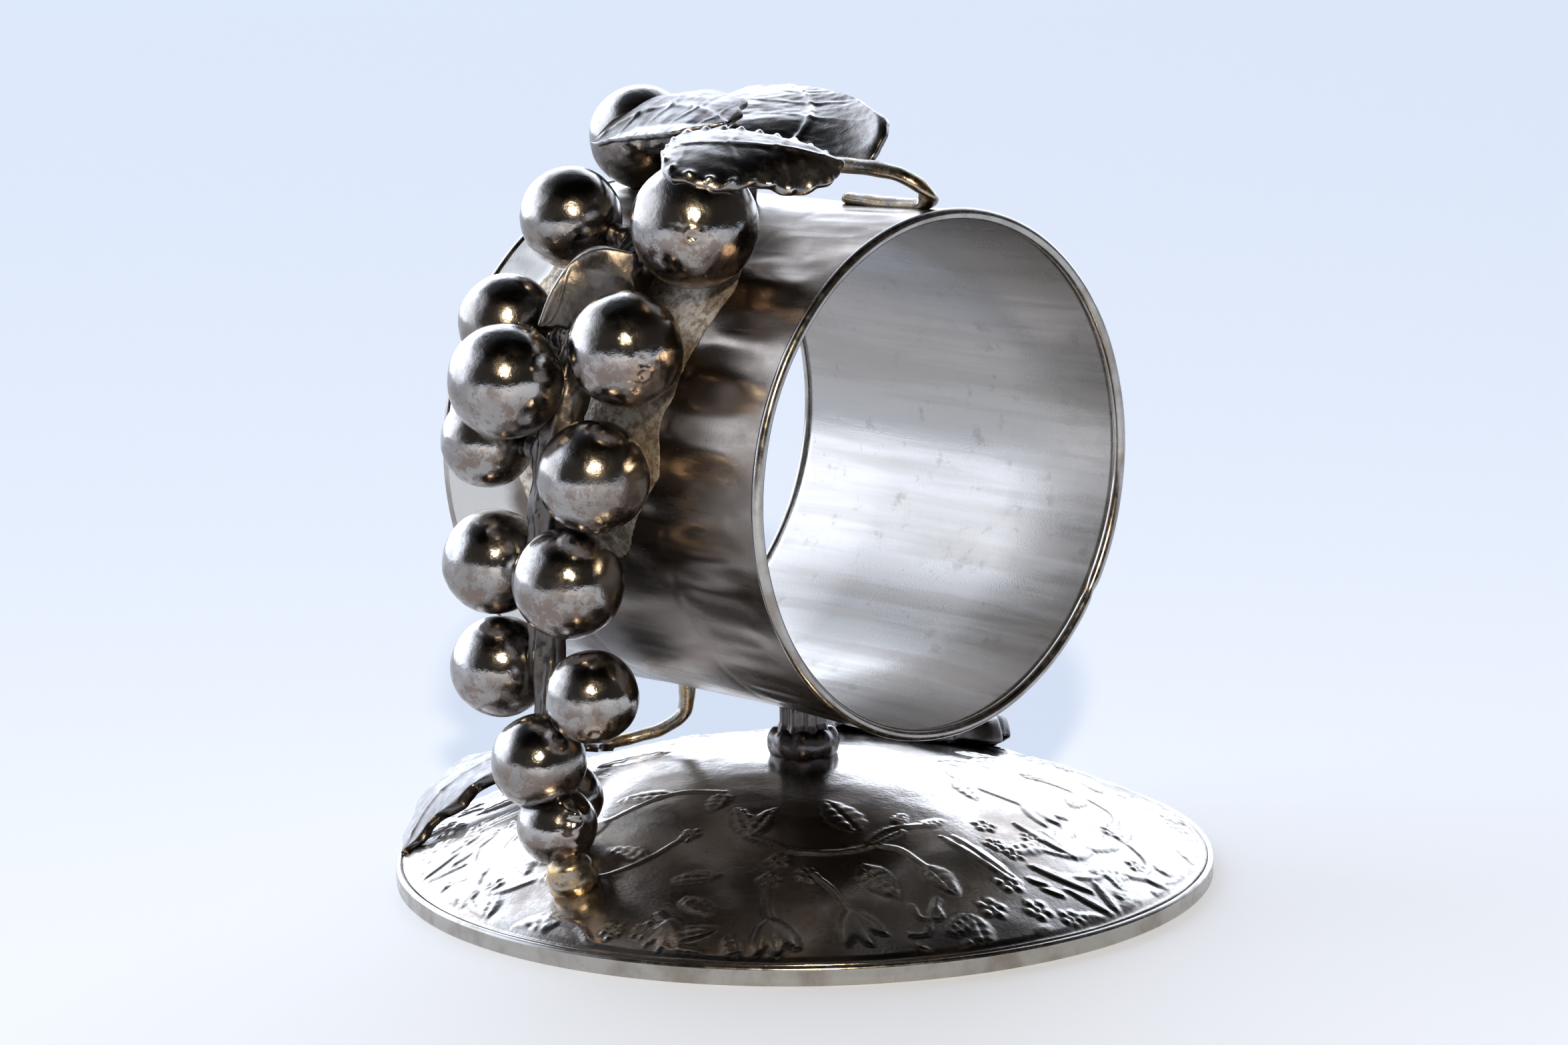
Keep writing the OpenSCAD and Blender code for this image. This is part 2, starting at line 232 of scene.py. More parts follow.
def blossom(u, v, length, width):
    """Five round petals about a round eye; length is its diameter, width the petals' share."""
    u = u - length / 2
    a = np.mod(np.arctan2(v, u) + math.pi / 5, 2 * math.pi / 5) - math.pi / 5
    r = np.hypot(u, v)
    petal = 0.3 * length
    near = np.hypot(r * np.cos(a) - petal, r * np.sin(a) * 1.05) / (width * length)
    return np.maximum(knob(near), 0.9 * knob(r / (0.13 * length)))


def leaf_relief(u, v, length, width, teeth=5):
    """An oval leaf from its stalk at 0 to its tip: domed across, notched along its edge, with a
    groove for the midrib and faint side veins."""
    s = np.clip(u / length, 0, 1)
    saw = np.abs(np.mod(s * teeth, 1) - 0.5)
    half = width / 2 * np.sin(math.pi * s ** 0.75) ** 0.8 * (0.86 + 0.3 * saw) + 1e-3
    blade = np.clip(1 - (v / half) ** 2, 0, None) ** 0.6
    groove = 0.55 * np.exp(-(v / 0.16) ** 2)
    veins = 0.15 * np.cos(2 * math.pi * (s * teeth - np.abs(v) / width))
    return np.where((u > 0) & (u < length), blade * (0.85 - groove + veins), 0)


def blade_relief(u, v, length, width):
    """A long smooth bud or reed: a rounded lens with one line along it."""
    s = np.clip(u / length, 0, 1)
    half = width / 2 * np.sin(math.pi * s ** 0.9) ** 0.5 + 1e-3
    body = np.clip(1 - (v / half) ** 2, 0, None) ** 0.6
    line = 0.45 * np.exp(-((v - 0.15 * width) / 0.1) ** 2)
    return np.where((u > 0) & (u < length), body * (1 - line), 0)


def tulip_relief(u, v, length, width):
    """A flower cup: three lens petals that spread from one foot."""
    h = blade_relief(u, v, length, 0.42 * width)
    for lean in (-1, 1):
        a = math.radians(26 * lean)
        side_u = u * math.cos(a) + v * math.sin(a)
        side_v = v * math.cos(a) - u * math.sin(a)
        h = np.maximum(h, 0.9 * blade_relief(side_u, side_v, 0.95 * length, 0.4 * width))
    return h


def stem_relief(x, y, route, width):
    """A raised line along a smooth route: a rounded ridge by the distance to the route."""
    line = catmull(np.asarray(route, float), 5)
    a, b = line[:-1], line[1:]
    way = b - a
    p = np.stack([x, y], -1)[:, None] - a[None]
    t = np.clip((p * way).sum(-1) / (way * way).sum(-1), 0, 1)
    gap = np.linalg.norm(p - t[..., None] * way, axis=-1).min(1)
    return knob(gap / width)


# Each motif of a shape: place of its foot (X, Y), heading in degrees, length, width. All in mm;
# a blossom's width is its petals' share.
MOTIFS = {
    leaf_relief: [
        (9.8, -15.7, 148, 5.2, 2.4), (9.8, -15.7, 112, 5, 2.4), (15.6, -9.3, 161, 6.2, 3.6),
        (19, -12.5, -8, 4.8, 3.3), (22.2, -8.3, -9, 4, 2.8), (16.6, -6, 118, 2.4, 1.3),
        (17.8, -4.4, 85, 2.6, 1.3), (28.5, -9.6, -84, 3.6, 2.2), (28.5, -9.6, -28, 4, 2.3),
        (32.8, -10.2, 78, 3.6, 1.5), (32.4, -6.6, 100, 2, 1.1), (28.6, 6.2, -20, 2.8, 1.4),
        (31, 3.9, 60, 2.6, 1.4), (33.2, -1.8, 110, 2.4, 1.2), (-4.2, -30.6, -62, 3.2, 1.9),
        (4.2, -31.2, 212, 4.6, 2.7), (-8.2, -29.2, 130, 3.4, 2), (7.6, -32, -10, 2.6, 1.3),
        (14.6, -29.4, 22, 3.8, 1.8), (13.6, -28.4, 48, 4, 1.8), (11.4, -24.8, 4, 3.6, 1.7),
        (9, -23.4, 38, 4, 1.7), (17.2, -25.4, -30, 3.2, 1.7), (1.2, -26.4, 200, 4, 2.2),
        (5, -22.4, 185, 4.4, 2.2), (-9.6, -22.6, 140, 4, 2.2), (-1.6, -13.6, 215, 4.4, 2.4),
        (2.4, -11.4, 300, 4, 2.2)
    ],
    blade_relief: [
        (19.8, -4.2, 6, 8, 0.9), (20.2, -3.2, 2, 6.4, 0.8), (20.6, 3.5, 10, 6.2, 1.3),
        (26, -0.5, 32, 5.3, 1.3), (27.2, -2.1, 40, 1.9, 0.8), (28.6, -1.8, 38, 1.9, 0.8),
        (29.6, 9, 40, 2.4, 1.2), (31.6, 8, 75, 3, 1.3), (33.2, 2.4, 165, 4, 0.9),
        (33.2, 1.8, 205, 4.2, 0.9), (33, 3, 120, 3.4, 0.9), (33.2, 1, 245, 2.8, 0.8)
    ],
    tulip_relief: [
        (22.3, -17.1, -22, 4, 3.6), (18.6, -22.3, -34, 4.2, 3.8), (26.4, 4.6, 150, 4.4, 4),
        (25.6, 6.8, 115, 4, 3.4), (12.4, -26.8, -60, 3.4, 3), (-3, -19.4, 250, 4, 3.4)
    ],
    blossom: [
        (13, -16.7, 0, 2.2, 0.17), (16.2, -17.2, 40, 2.2, 0.17), (15, -20, 70, 2.2, 0.17),
        (19, 0.6, 0, 2.3, 0.17), (21.8, -1.4, 30, 2, 0.17), (23.4, -0.6, 10, 2, 0.17),
        (22.4, 2.2, 50, 2.1, 0.17), (25.8, -4.3, 15, 2.6, 0.17), (27.2, -7.6, 0, 2.7, 0.17),
        (29.4, -5.2, 45, 2.7, 0.17), (27.4, 9.8, 0, 2, 0.17), (31.6, -3.2, 60, 2.2, 0.17),
        (8, -30, 0, 2.3, 0.17), (10.4, -29.4, 30, 2, 0.17), (-2.4, -26.6, 0, 2.2, 0.17),
        (4.6, -18.6, 20, 2.1, 0.17)
    ],
}
# Each stem: half width of its ridge, then its route (X, Y)
STEMS = [
    (0.34, [(9.6, -15.9), (11.5, -15.6), (14, -15), (16.3, -12.9), (17.5, -10.2), (17.6, -6.3)]),
    (0.3, [(17.1, -9.9), (16.7, -7.9), (16.9, -6.2), (18.2, -3.3)]),
    (0.3, [(17, -16.2), (19.3, -16.3), (21.4, -16.9), (22.6, -17.3)]),
    (0.3, [(18, -9.3), (19.4, -8.4), (21.2, -8.4), (22.7, -8.4)]),
    (0.22, [(25, -12.9), (26.4, -13.4), (27.2, -12), (26.2, -11.4)]),
    (0.22, [(25.6, -10.6), (26.6, -12.4), (27.8, -14.2), (27.2, -15.4)]),
    (0.3, [(28.4, -15.7), (29.5, -15.2), (30.4, -13.9), (30.4, -12)]),
    (0.3, [(16, -19.8), (17.4, -21.4), (18.8, -22.4)]),
    (0.28, [(-8.1, -29.4), (-6.2, -31.6), (-2.9, -33)]),
    (0.26, [(-7.5, -29.8), (-5.6, -30.3), (-4, -29.9), (-2.4, -28.2)]),
    (0.28, [(2.6, -32.2), (4.6, -31.1), (6.4, -31), (8.4, -31.8)]),
    (0.26, [(11, -27), (12.4, -27.4), (14.6, -29.4)]),
    (0.26, [(1, -26.4), (3.4, -25.6), (5, -22.4), (5.4, -19)]),
    (0.26, [(-6, -24), (-3.4, -22), (-3, -19.4), (-1.6, -13.6), (2.4, -11.4)]),
    (0.3, [(24, 1.4), (26.4, 4.6), (26, 6.8)]),
    (0.26, [(28.2, 1.6), (29, 4), (28.6, 6.2), (29.8, 9)]),
]
PATTERN_TURNS = (0, 120, 240)
RELIEF_H = 0.17


def stamped_relief(x, y):
    """Height of the stamped pattern: the highest of its motifs at each place. The pattern fills
    a third of the foot and is struck three times round it."""
    height = np.zeros_like(x)
    for turn in PATTERN_TURNS:
        a = math.radians(turn)
        px, py = x * math.cos(a) + y * math.sin(a), y * math.cos(a) - x * math.sin(a)
        motifs = [(shape, *motif) for shape, group in MOTIFS.items() for motif in group]
        for shape, mx, my, heading, length, width in motifs:
            near = (np.abs(px - mx) < length + 1) & (np.abs(py - my) < length + 1)
            h = math.radians(heading)
            dx, dy = px[near] - mx, py[near] - my
            u, v = dx * math.cos(h) + dy * math.sin(h), dy * math.cos(h) - dx * math.sin(h)
            height[near] = np.maximum(height[near], shape(u, v, length, width))
        for width, route in STEMS:
            low, high = np.min(route, 0) - 1, np.max(route, 0) + 1
            near = (px > low[0]) & (px < high[0]) & (py > low[1]) & (py < high[1])
            ridge = 0.75 * stem_relief(px[near], py[near], route, width)
            height[near] = np.maximum(height[near], ridge)
    return height


def disc_grid(count, radius):
    """A square grid pressed into a disc: each square ring of it becomes a circle."""
    a, b = np.meshgrid(np.linspace(-1, 1, count), np.linspace(-1, 1, count), indexing="ij")
    steep = np.abs(b) > np.abs(a)
    reach = np.where(steep, b, a)
    other = np.where(steep, a, b)
    part = other / np.where(reach == 0, 1, reach) * math.pi / 4
    angle = np.where(steep, math.pi / 2 - part, part)
    return radius * reach * np.cos(angle), radius * reach * np.sin(angle)


def grid_border(count):
    """Indices round the border of a square grid of points, in order."""
    k = np.arange(count - 1)
    last = count - 1
    return np.concatenate([k * count, last * count + k, (last - k) * count + last, last - k])


def foot_dome(finish):
    """The saucer: a sphere's cap on a disc grid, raised by the stamped relief, a little uneven,
    and sunk into a channel inside the edge. A coarser sphere's cap closes it underneath."""
    fine, ratio = 289, 6
    coarse = (fine - 1) // ratio + 1
    x, y = disc_grid(fine, FOOT_R - 0.6)
    x, y = x.ravel(), y.ravel()
    r = np.hypot(x, y)
    normal = np.stack([x, y, saucer_z(x, y) - SAUCER_C], -1) / SAUCER_R
    plain = np.clip((FOOT_R - 1.2 - r) / 0.5, 0, 1) * np.clip((r - COLLAR_R - 1) / 1.5, 0, 1)
    relief = stamped_relief(x, y) * plain
    flat = np.stack([x, y, 0 * x], -1)
    uneven = 0.05 * wave_field(flat, 9, 3) + 0.02 * wave_field(flat, 3.2, 4)
    channel = 0.16 * np.exp(-((r - FOOT_R + 0.95) / 0.16) ** 2)
    lift = RELIEF_H * relief + uneven - channel
    top = np.stack([x, y, saucer_z(x, y)], -1) + normal * lift[:, None]
    ux, uy = disc_grid(coarse, FOOT_R - 1.3)
    ux, uy = ux.ravel(), uy.ravel()
    inner = SAUCER_C + np.sqrt((SAUCER_R - FOOT_SHEET) ** 2 - ux ** 2 - uy ** 2)
    under = np.stack([ux, uy, inner], -1)
    start = len(top)
    upper, lower = grid_border(fine), grid_border(coarse) + start
    faces = grid_quads(fine, fine)
    faces += [f[::-1] for f in grid_quads(coarse, coarse, start=start)]
    for j in range(len(lower)):
        edge = [int(upper[(ratio * j + i) % len(upper)]) for i in range(ratio + 1)]
        faces.append([int(lower[j]), int(lower[(j + 1) % len(lower)])] + edge[::-1])
    marks = {"raised": np.concatenate([relief, np.zeros(len(under))])}
    return make_piece("stamped_foot", np.vstack([top, under]), faces, finish,
                      ["foot_dome"], marks)


def foot_rim(finish):
    """The edge: a wall with a bead rolled along its top and a fine step above the table."""
    bead_r = 0.3
    bead = [(FOOT_R - bead_r + bead_r * math.cos(math.radians(a)),
             EDGE_H + 0.05 + bead_r * math.sin(math.radians(a))) for a in range(180, -31, -21)]
    wall = [(FOOT_R - 0.11, EDGE_H - 0.2), (FOOT_R - 0.12, 0.45), (FOOT_R - 0.07, 0.12),
            (FOOT_R - 0.14, 0), (FOOT_R - 1.3, 0), (FOOT_R - 1.5, 0.3), (FOOT_R - 1.5, 1),
            (FOOT_R - 1.1, EDGE_H + 0.1)]
    grid = revolve(bead + wall, 720)
    a = np.arctan2(grid[..., 1], grid[..., 0])
    swell = 1 - 0.0004 * (1 + np.sin(7 * a + 1) * np.sin(11 * a))
    grid[..., :2] *= swell[..., None]
    faces = grid_quads(*grid.shape[:2], close_rows=True, close_columns=True)
    return make_piece("foot_edge", grid.reshape(-1, 3), faces, finish, ["foot_rim"])


# ---------------------------------------------------------------- the post

def post_collar(finish):
    """The bead at the foot of the post: a soft ring pressed into lobes, like a small rose."""
    lobes, rows, columns = 8, 20, 128
    t = np.linspace(0, 1, rows)[:, None]
    a = full_turn(columns)[None]
    height = COLLAR_TOP - SAUCER_TOP
    turn = math.radians(200) * t - math.radians(70)
    wide = COLLAR_R - 0.9 + 0.9 * np.cos(turn) * (0.9 + 0.1 * np.cos(lobes * a))
    r = np.where(t < 0.98, wide, 1.4)
    z = (SAUCER_TOP + 0.42 * height + 0.62 * height * np.sin(turn)
         - 0.12 * (1 - np.cos(lobes * a)))
    z = np.broadcast_to(z, r.shape)
    body = np.stack([r * np.cos(a), r * np.sin(a), np.minimum(z, COLLAR_TOP)], -1)
    points = np.vstack([[[0, 0, SAUCER_TOP - 0.3]], body.reshape(-1, 3),
                        [[0, 0, COLLAR_TOP - 0.1]]])
    return make_piece("post_bead", points, tube_faces(rows, columns), finish,
                      ["post_collar"])


def post_neck(finish):
    """The neck: a round bar with hollow flutes, wider where it is soldered to the sleeve."""
    flutes, rows, columns = 8, 16, 128
    t = np.linspace(0, 1, rows)[:, None]
    a = full_turn(columns)[None]
    hollow = 0.36 * np.abs(np.cos(flutes / 2 * a)) ** 3
    low, high = COLLAR_TOP - 0.35, box_mm("post_neck")[1][2] + 0.15
    spread = 0.5 * np.clip(t * 2 - 1.2, 0, 1) ** 2 + 0.3 * np.clip(1 - 4 * t, 0, 1)
    r = NECK_R - hollow + spread
    z = np.broadcast_to(low + (high - low) * t, r.shape)
    top = AXIS_Z - np.sqrt(SLEEVE_R ** 2 - (r * np.sin(a)) ** 2) + 0.1
    z = np.minimum(z, top)
    body = np.stack([r * np.cos(a), r * np.sin(a), z], -1)
    points = np.vstack([[[0, 0, low]], body.reshape(-1, 3), [[0, 0, AXIS_Z - SLEEVE_R + 0.1]]])
    return make_piece("fluted_neck", points, tube_faces(rows, columns), finish,
                      ["post_neck"])


# ---------------------------------------------------------------- the sleeve

def flare_at(gap):
    """How far the sleeve has flared, at a distance from its middle."""
    past = np.clip((np.abs(gap) - HALF_BAND) / (SLEEVE_END - HALF_BAND), 0, 1)
    return FLARE * past ** 1.6


def berry_gap(points):
    """Distance from points to the nearest berry's surface."""
    return np.min([np.linalg.norm(points - c, axis=-1) - r for c, r in BERRIES], axis=0)


def sleeve(finish):
    """The sleeve: a thin wall turned about the X axis, flared past its middle band, with a fine
    scored line at each end of the band and faint planishing ripples before the rims."""
    outer = np.linspace(-1, 1, 90) * (SLEEVE_END + 0.1)
    inner = outer[::-1][::2]
    line = sum(np.exp(-((outer - s * (HALF_BAND + 0.4)) / 0.16) ** 2) for s in (-1, 1))
    top = SLEEVE_R + flare_at(outer) - 0.07 * line
    profile = np.r_[np.c_[outer, top], np.c_[inner, BORE_R + flare_at(inner)]]
    a = full_turn(480)
    gap, radius = np.repeat(profile[:, :1], len(a), 1), np.repeat(profile[:, 1:], len(a), 1)
    outside = np.arange(len(profile))[:, None] < len(outer)
    turned = np.stack([gap + SLEEVE_X, -radius * np.sin(a), AXIS_Z + radius * np.cos(a)], -1)
    ripple_band = np.clip((np.abs(gap) - HALF_BAND - 1) / 2, 0, 1)
    ripple_band = ripple_band * np.clip((SLEEVE_END - 1.5 - np.abs(gap)) / 2, 0, 1)
    ripple = 0.05 * np.cos(46 * a + 0.5 * np.sin(3 * a)) * ripple_band
    radius = radius + np.where(outside, ripple, 0) + 0.025 * wave_field(turned, 12, 21)
    turn = 90 - np.degrees(a)[None]
    reach = np.interp(turn, (-16, -9, 4, 25, 50, 62), (4, 6.5, 9, 9.8, 11, 9))
    reach = reach + 0.5 * wave_field(turned, 5, 23)
    solder = np.clip((reach - np.abs(gap + SLEEVE_X + 3.5)) / 0.7, 0, 1)
    solder = solder * np.clip((66 - turn) / 4, 0, 1) * np.clip((turn + 18) / 4, 0, 1)
    radius = radius + (0.05 + 0.03 * wave_field(turned, 1.6, 22)) * solder * outside
    points = np.stack([gap + SLEEVE_X, -radius * np.sin(a), AXIS_Z + radius * np.cos(a)], -1)
    faces = grid_quads(*points.shape[:2], close_rows=True, close_columns=True)
    inner_mark = np.broadcast_to(1.0 - outside, radius.shape)
    return make_piece("ring_sleeve_skin", points.reshape(-1, 3), faces, finish,
                      ["ring_sleeve"], {"solder": solder * outside, "inner": inner_mark})


def rim_wire(side, node, finish):
    """A wire round the sleeve's mouth: a circle carried round a circle, a little uneven, with one
    small flat where it has been knocked."""
    a = full_turn(480)[:, None]
    b = full_turn(20)[None]
    knock = np.exp(-((a - math.radians(235)) / 0.03) ** 2) * (side > 0)
    r = WIRE_R - 0.03 - 0.02 * np.sin(9 * a + side) * np.sin(4 * a) - 0.12 * knock
    reach = RIM_R + r * np.cos(b)
    x = SLEEVE_X + side * (SLEEVE_END + r * np.sin(b))
    points = np.stack([x, -reach * np.sin(a), AXIS_Z + reach * np.cos(a)], -1)
    faces = grid_quads(*points.shape[:2], close_rows=True, close_columns=True)
    return make_piece(node + "_bead", points.reshape(-1, 3), faces, finish, [node])


# ---------------------------------------------------------------- the bunch

# Which way each berry's casting mark faces, and how bold it is
CAST_MARKS = {3: ((0.7, -0.7, -0.05), 0.7), 6: ((0.86, -0.4, -0.3), 0.9),
              12: ((0.62, -0.5, -0.6), 1), 5: ((-0.9, -0.3, -0.3), 0.6),
              8: ((0.5, -0.2, -0.85), 0.5), 9: ((-0.8, -0.5, -0.3), 0.7),
              14: ((0.3, -0.35, -0.9), 0.6)}


def berry(number, finish):
    """A cast berry: a ball whose radius wanders a little, with a ringed mark at one pole."""
    centre, radius = BERRIES[number - 1]
    pole, bold = CAST_MARKS.get(number, ((0.2 * math.sin(number * 2.4), 0.9, 0.4), 0.4))
    pole = np.array(pole) / np.linalg.norm(pole)
    side = np.cross(pole, (0, 0, 1))
    side /= np.linalg.norm(side)
    front = np.cross(side, pole)
    rows, columns = 58, 76
    q = np.linspace(0, 1, rows + 2)[1:-1, None]
    t = math.pi * (0.45 * q + 0.55 * q ** 1.7)
    a = full_turn(columns)[None]
    body = (np.cos(t)[..., None] * pole + (np.sin(t) * np.cos(a))[..., None] * side
            + (np.sin(t) * np.sin(a))[..., None] * front)
    ways = np.vstack([[pole], body.reshape(-1, 3), [-pole]])
    arc = radius * np.arccos(np.clip(ways @ pole, -1, 1))
    place = centre + ways * radius
    scar = np.exp(-(arc / 1.5) ** 2)
    ring = 0.16 * np.exp(-((arc - 0.55) / 0.17) ** 2) - 0.1 * np.exp(-(arc / 0.3) ** 2)
    lift = (bold * ring + 0.07 * bold * scar * wave_field(place, 0.7, number + 60)
            + 0.035 * wave_field(place, 3.4, number) + 0.012 * wave_field(place, 1.1, number + 30))
    if number == 14:
        off = ways @ np.array((0.24, 0.96, 0)) * radius + 0.25 * np.sin(2.4 * place[:, 2])
        ends = np.clip(1.6 - np.abs(ways[:, 2]) * 1.3, 0, 1)
        run = np.exp(-(off / 0.62) ** 2) * (ways[:, 0] > 0) * ends
        lift = lift + run * (0.42 + 0.16 * wave_field(place, 0.8, 90))
        scar = np.maximum(scar, 0.5 * run)
    # Painted shade: the crowd mark darkens each berry where it comes close to another berry or the
    # sleeve.
    others = [np.linalg.norm(place - c, axis=1) - r
              for k, (c, r) in enumerate(BERRIES) if k != number - 1]
    wall = np.hypot(place[:, 1], place[:, 2] - AXIS_Z) - SLEEVE_R
    crowd = np.exp(-np.clip(np.min(others + [wall], axis=0), 0, None) / 0.8)
    # Painted shadow: the lower part of berry 1, under the left leaf, is darkened as well.
    if number == 1:
        crowd = np.maximum(crowd, np.clip(0.55 - 0.6 * ways[:, 2], 0, 0.95))
    node = "grape_%02d" % number
    return make_piece(node + "_cast", place + ways * lift[:, None] - ways * 0.03,
                      tube_faces(rows, columns), finish, [node],
                      {"crowd": crowd, "scar": scar * bold})


def tail_bud(finish):
    """The bud at the tip: a small ball whose radius wanders a little."""
    centre, radius = TAIL
    rows, columns = 30, 40
    t = np.linspace(0, math.pi, rows + 2)[1:-1, None]
    a = full_turn(columns)[None]
    ways = np.stack([np.sin(t) * np.cos(a), np.sin(t) * np.sin(a),
                     np.cos(t) + 0 * a], -1).reshape(-1, 3)
    ways = np.vstack([[[0, 0, 1]], ways, [[0, 0, -1]]])
    place = centre + ways * radius
    size = radius * (0.96 + 0.06 * wave_field(place, 1.6, 77))
    return make_piece("grape_tail_cast", centre + ways * size[:, None], tube_faces(rows, columns),
                      finish, ["grape_tail"])


def hung(x, out, share):
    """A point beside the sleeve: X, distance out from it, share of the drop from foot to axis."""
    y = -(SLEEVE_R + out)
    low = saucer_z(min(math.hypot(x, y), FOOT_R), 0)
    return [x, y, low + share * (AXIS_Z - low)]


def round_section(radius):
    """A round section whose radius depends on the share of the length."""
    return lambda s, a: (radius(s) * np.cos(a), radius(s) * np.sin(a))


STALK_ON_SLEEVE = [(-5, 4, 0.6), (-4.6, 20, 0.8), (-3.4, 38, 1.2), (-3.2, 55, 2),
                   (-3.4, 72, 2.6), (-3.8, 90, 2.8)]
STALK_HANGING = [(-4.6, 3, 0.8), (-4.6, 3.2, 0.55), (-3.4, 3.6, 0.38), (-2, 4.4, 0.24),
                 (-0.8, 5.4, 0.12)]
STALK_R, STALK_TIP_R = 2.1, 1.3


def fused(name, parts, voxel, smooth_steps):
    """Melts overlapping closed shapes into one skin: a voxel remesh, then a few rounds of
    smoothing. Gives the new points, their normals and the faces."""
    points, faces, start = [], [], 0
    for p, f in parts:
        points.append(p)
        faces += [[i + start for i in face] for face in f]
        start += len(p)
    body = bpy.data.objects.new(name, closed_mesh(name, np.vstack(points), faces))
    scene.collection.objects.link(body)
    melt = body.modifiers.new("melt", "REMESH")
    melt.mode = "VOXEL"
    melt.voxel_size = voxel * MM
    ease = body.modifiers.new("ease", "SMOOTH")
    ease.factor, ease.iterations = 0.5, smooth_steps
    result = body.evaluated_get(bpy.context.evaluated_depsgraph_get()).to_mesh()
    spots, ways = np.zeros(len(result.vertices) * 3), np.zeros(len(result.vertices) * 3)
    result.vertices.foreach_get("co", spots)
    result.vertex_normals.foreach_get("vector", ways)
    skin = [list(p.vertices) for p in result.polygons]
    bpy.data.objects.remove(body)
    return spots.reshape(-1, 3) / MM, ways.reshape(-1, 3), skin


def stalk(finish):
    """The stalk: a tapered bar down the bunch and a short arm to each berry, melted together and
    drawn with ridges along it, like a twisted vine."""
    route = catmull([on_sleeve(*p) for p in STALK_ON_SLEEVE]
                    + [hung(*p) for p in STALK_HANGING], 8)
    parts = [stem_mesh(route, round_section(lambda s: STALK_R + (STALK_TIP_R - STALK_R) * s),
                       20, (1, 0.1, 0))]
    for centre, radius in BERRIES:
        foot = route[np.argmin(np.linalg.norm(route - centre, axis=1))]
        reach = np.linalg.norm(centre - foot)
        share = np.linspace(0, 1 - 0.6 * radius / reach, 12)[:, None]
        arm = foot + (centre - foot) * share
        parts.append(stem_mesh(arm, round_section(lambda s: 1.35 - 0.75 * s + 0.5 * s ** 4),
                               16, (0.2, 0.3, 1)))
    points, ways, faces = fused("stalk_blank", parts, 0.3, 5)
    near = np.argmin(np.linalg.norm(points[:, None] - route[None, ::2], axis=2), axis=1)
    along = near / len(route[::2])
    ridge = np.cos(2 * math.pi * (points[:, 0] / 1.05 + 1.5 * along))
    lift = 0.13 * ridge + 0.09 * wave_field(points, 2.2, 5) + 0.04 * wave_field(points, 0.9, 6)
    points = points + ways * lift[:, None]
    # Painted shade: the crowd mark darkens the stalk where it comes close to a berry.
    marks = {"crowd": np.exp(-np.clip(berry_gap(points), 0, None) / 0.7)}
    return make_piece("bunch_stalk_cast", points, faces, finish, ["bunch_stalk"],
                      marks)


# ---------------------------------------------------------------- leaves and stems

def along(path, count):
    """A path's smooth curve, taken at equal steps of its own length."""
    line = catmull(path, 14)
    reach = np.r_[0, np.cumsum(np.linalg.norm(np.diff(line, axis=0), axis=1))]
    at = np.linspace(0, reach[-1], count)
    return np.stack([np.interp(at, reach, line[:, k]) for k in range(3)], -1)


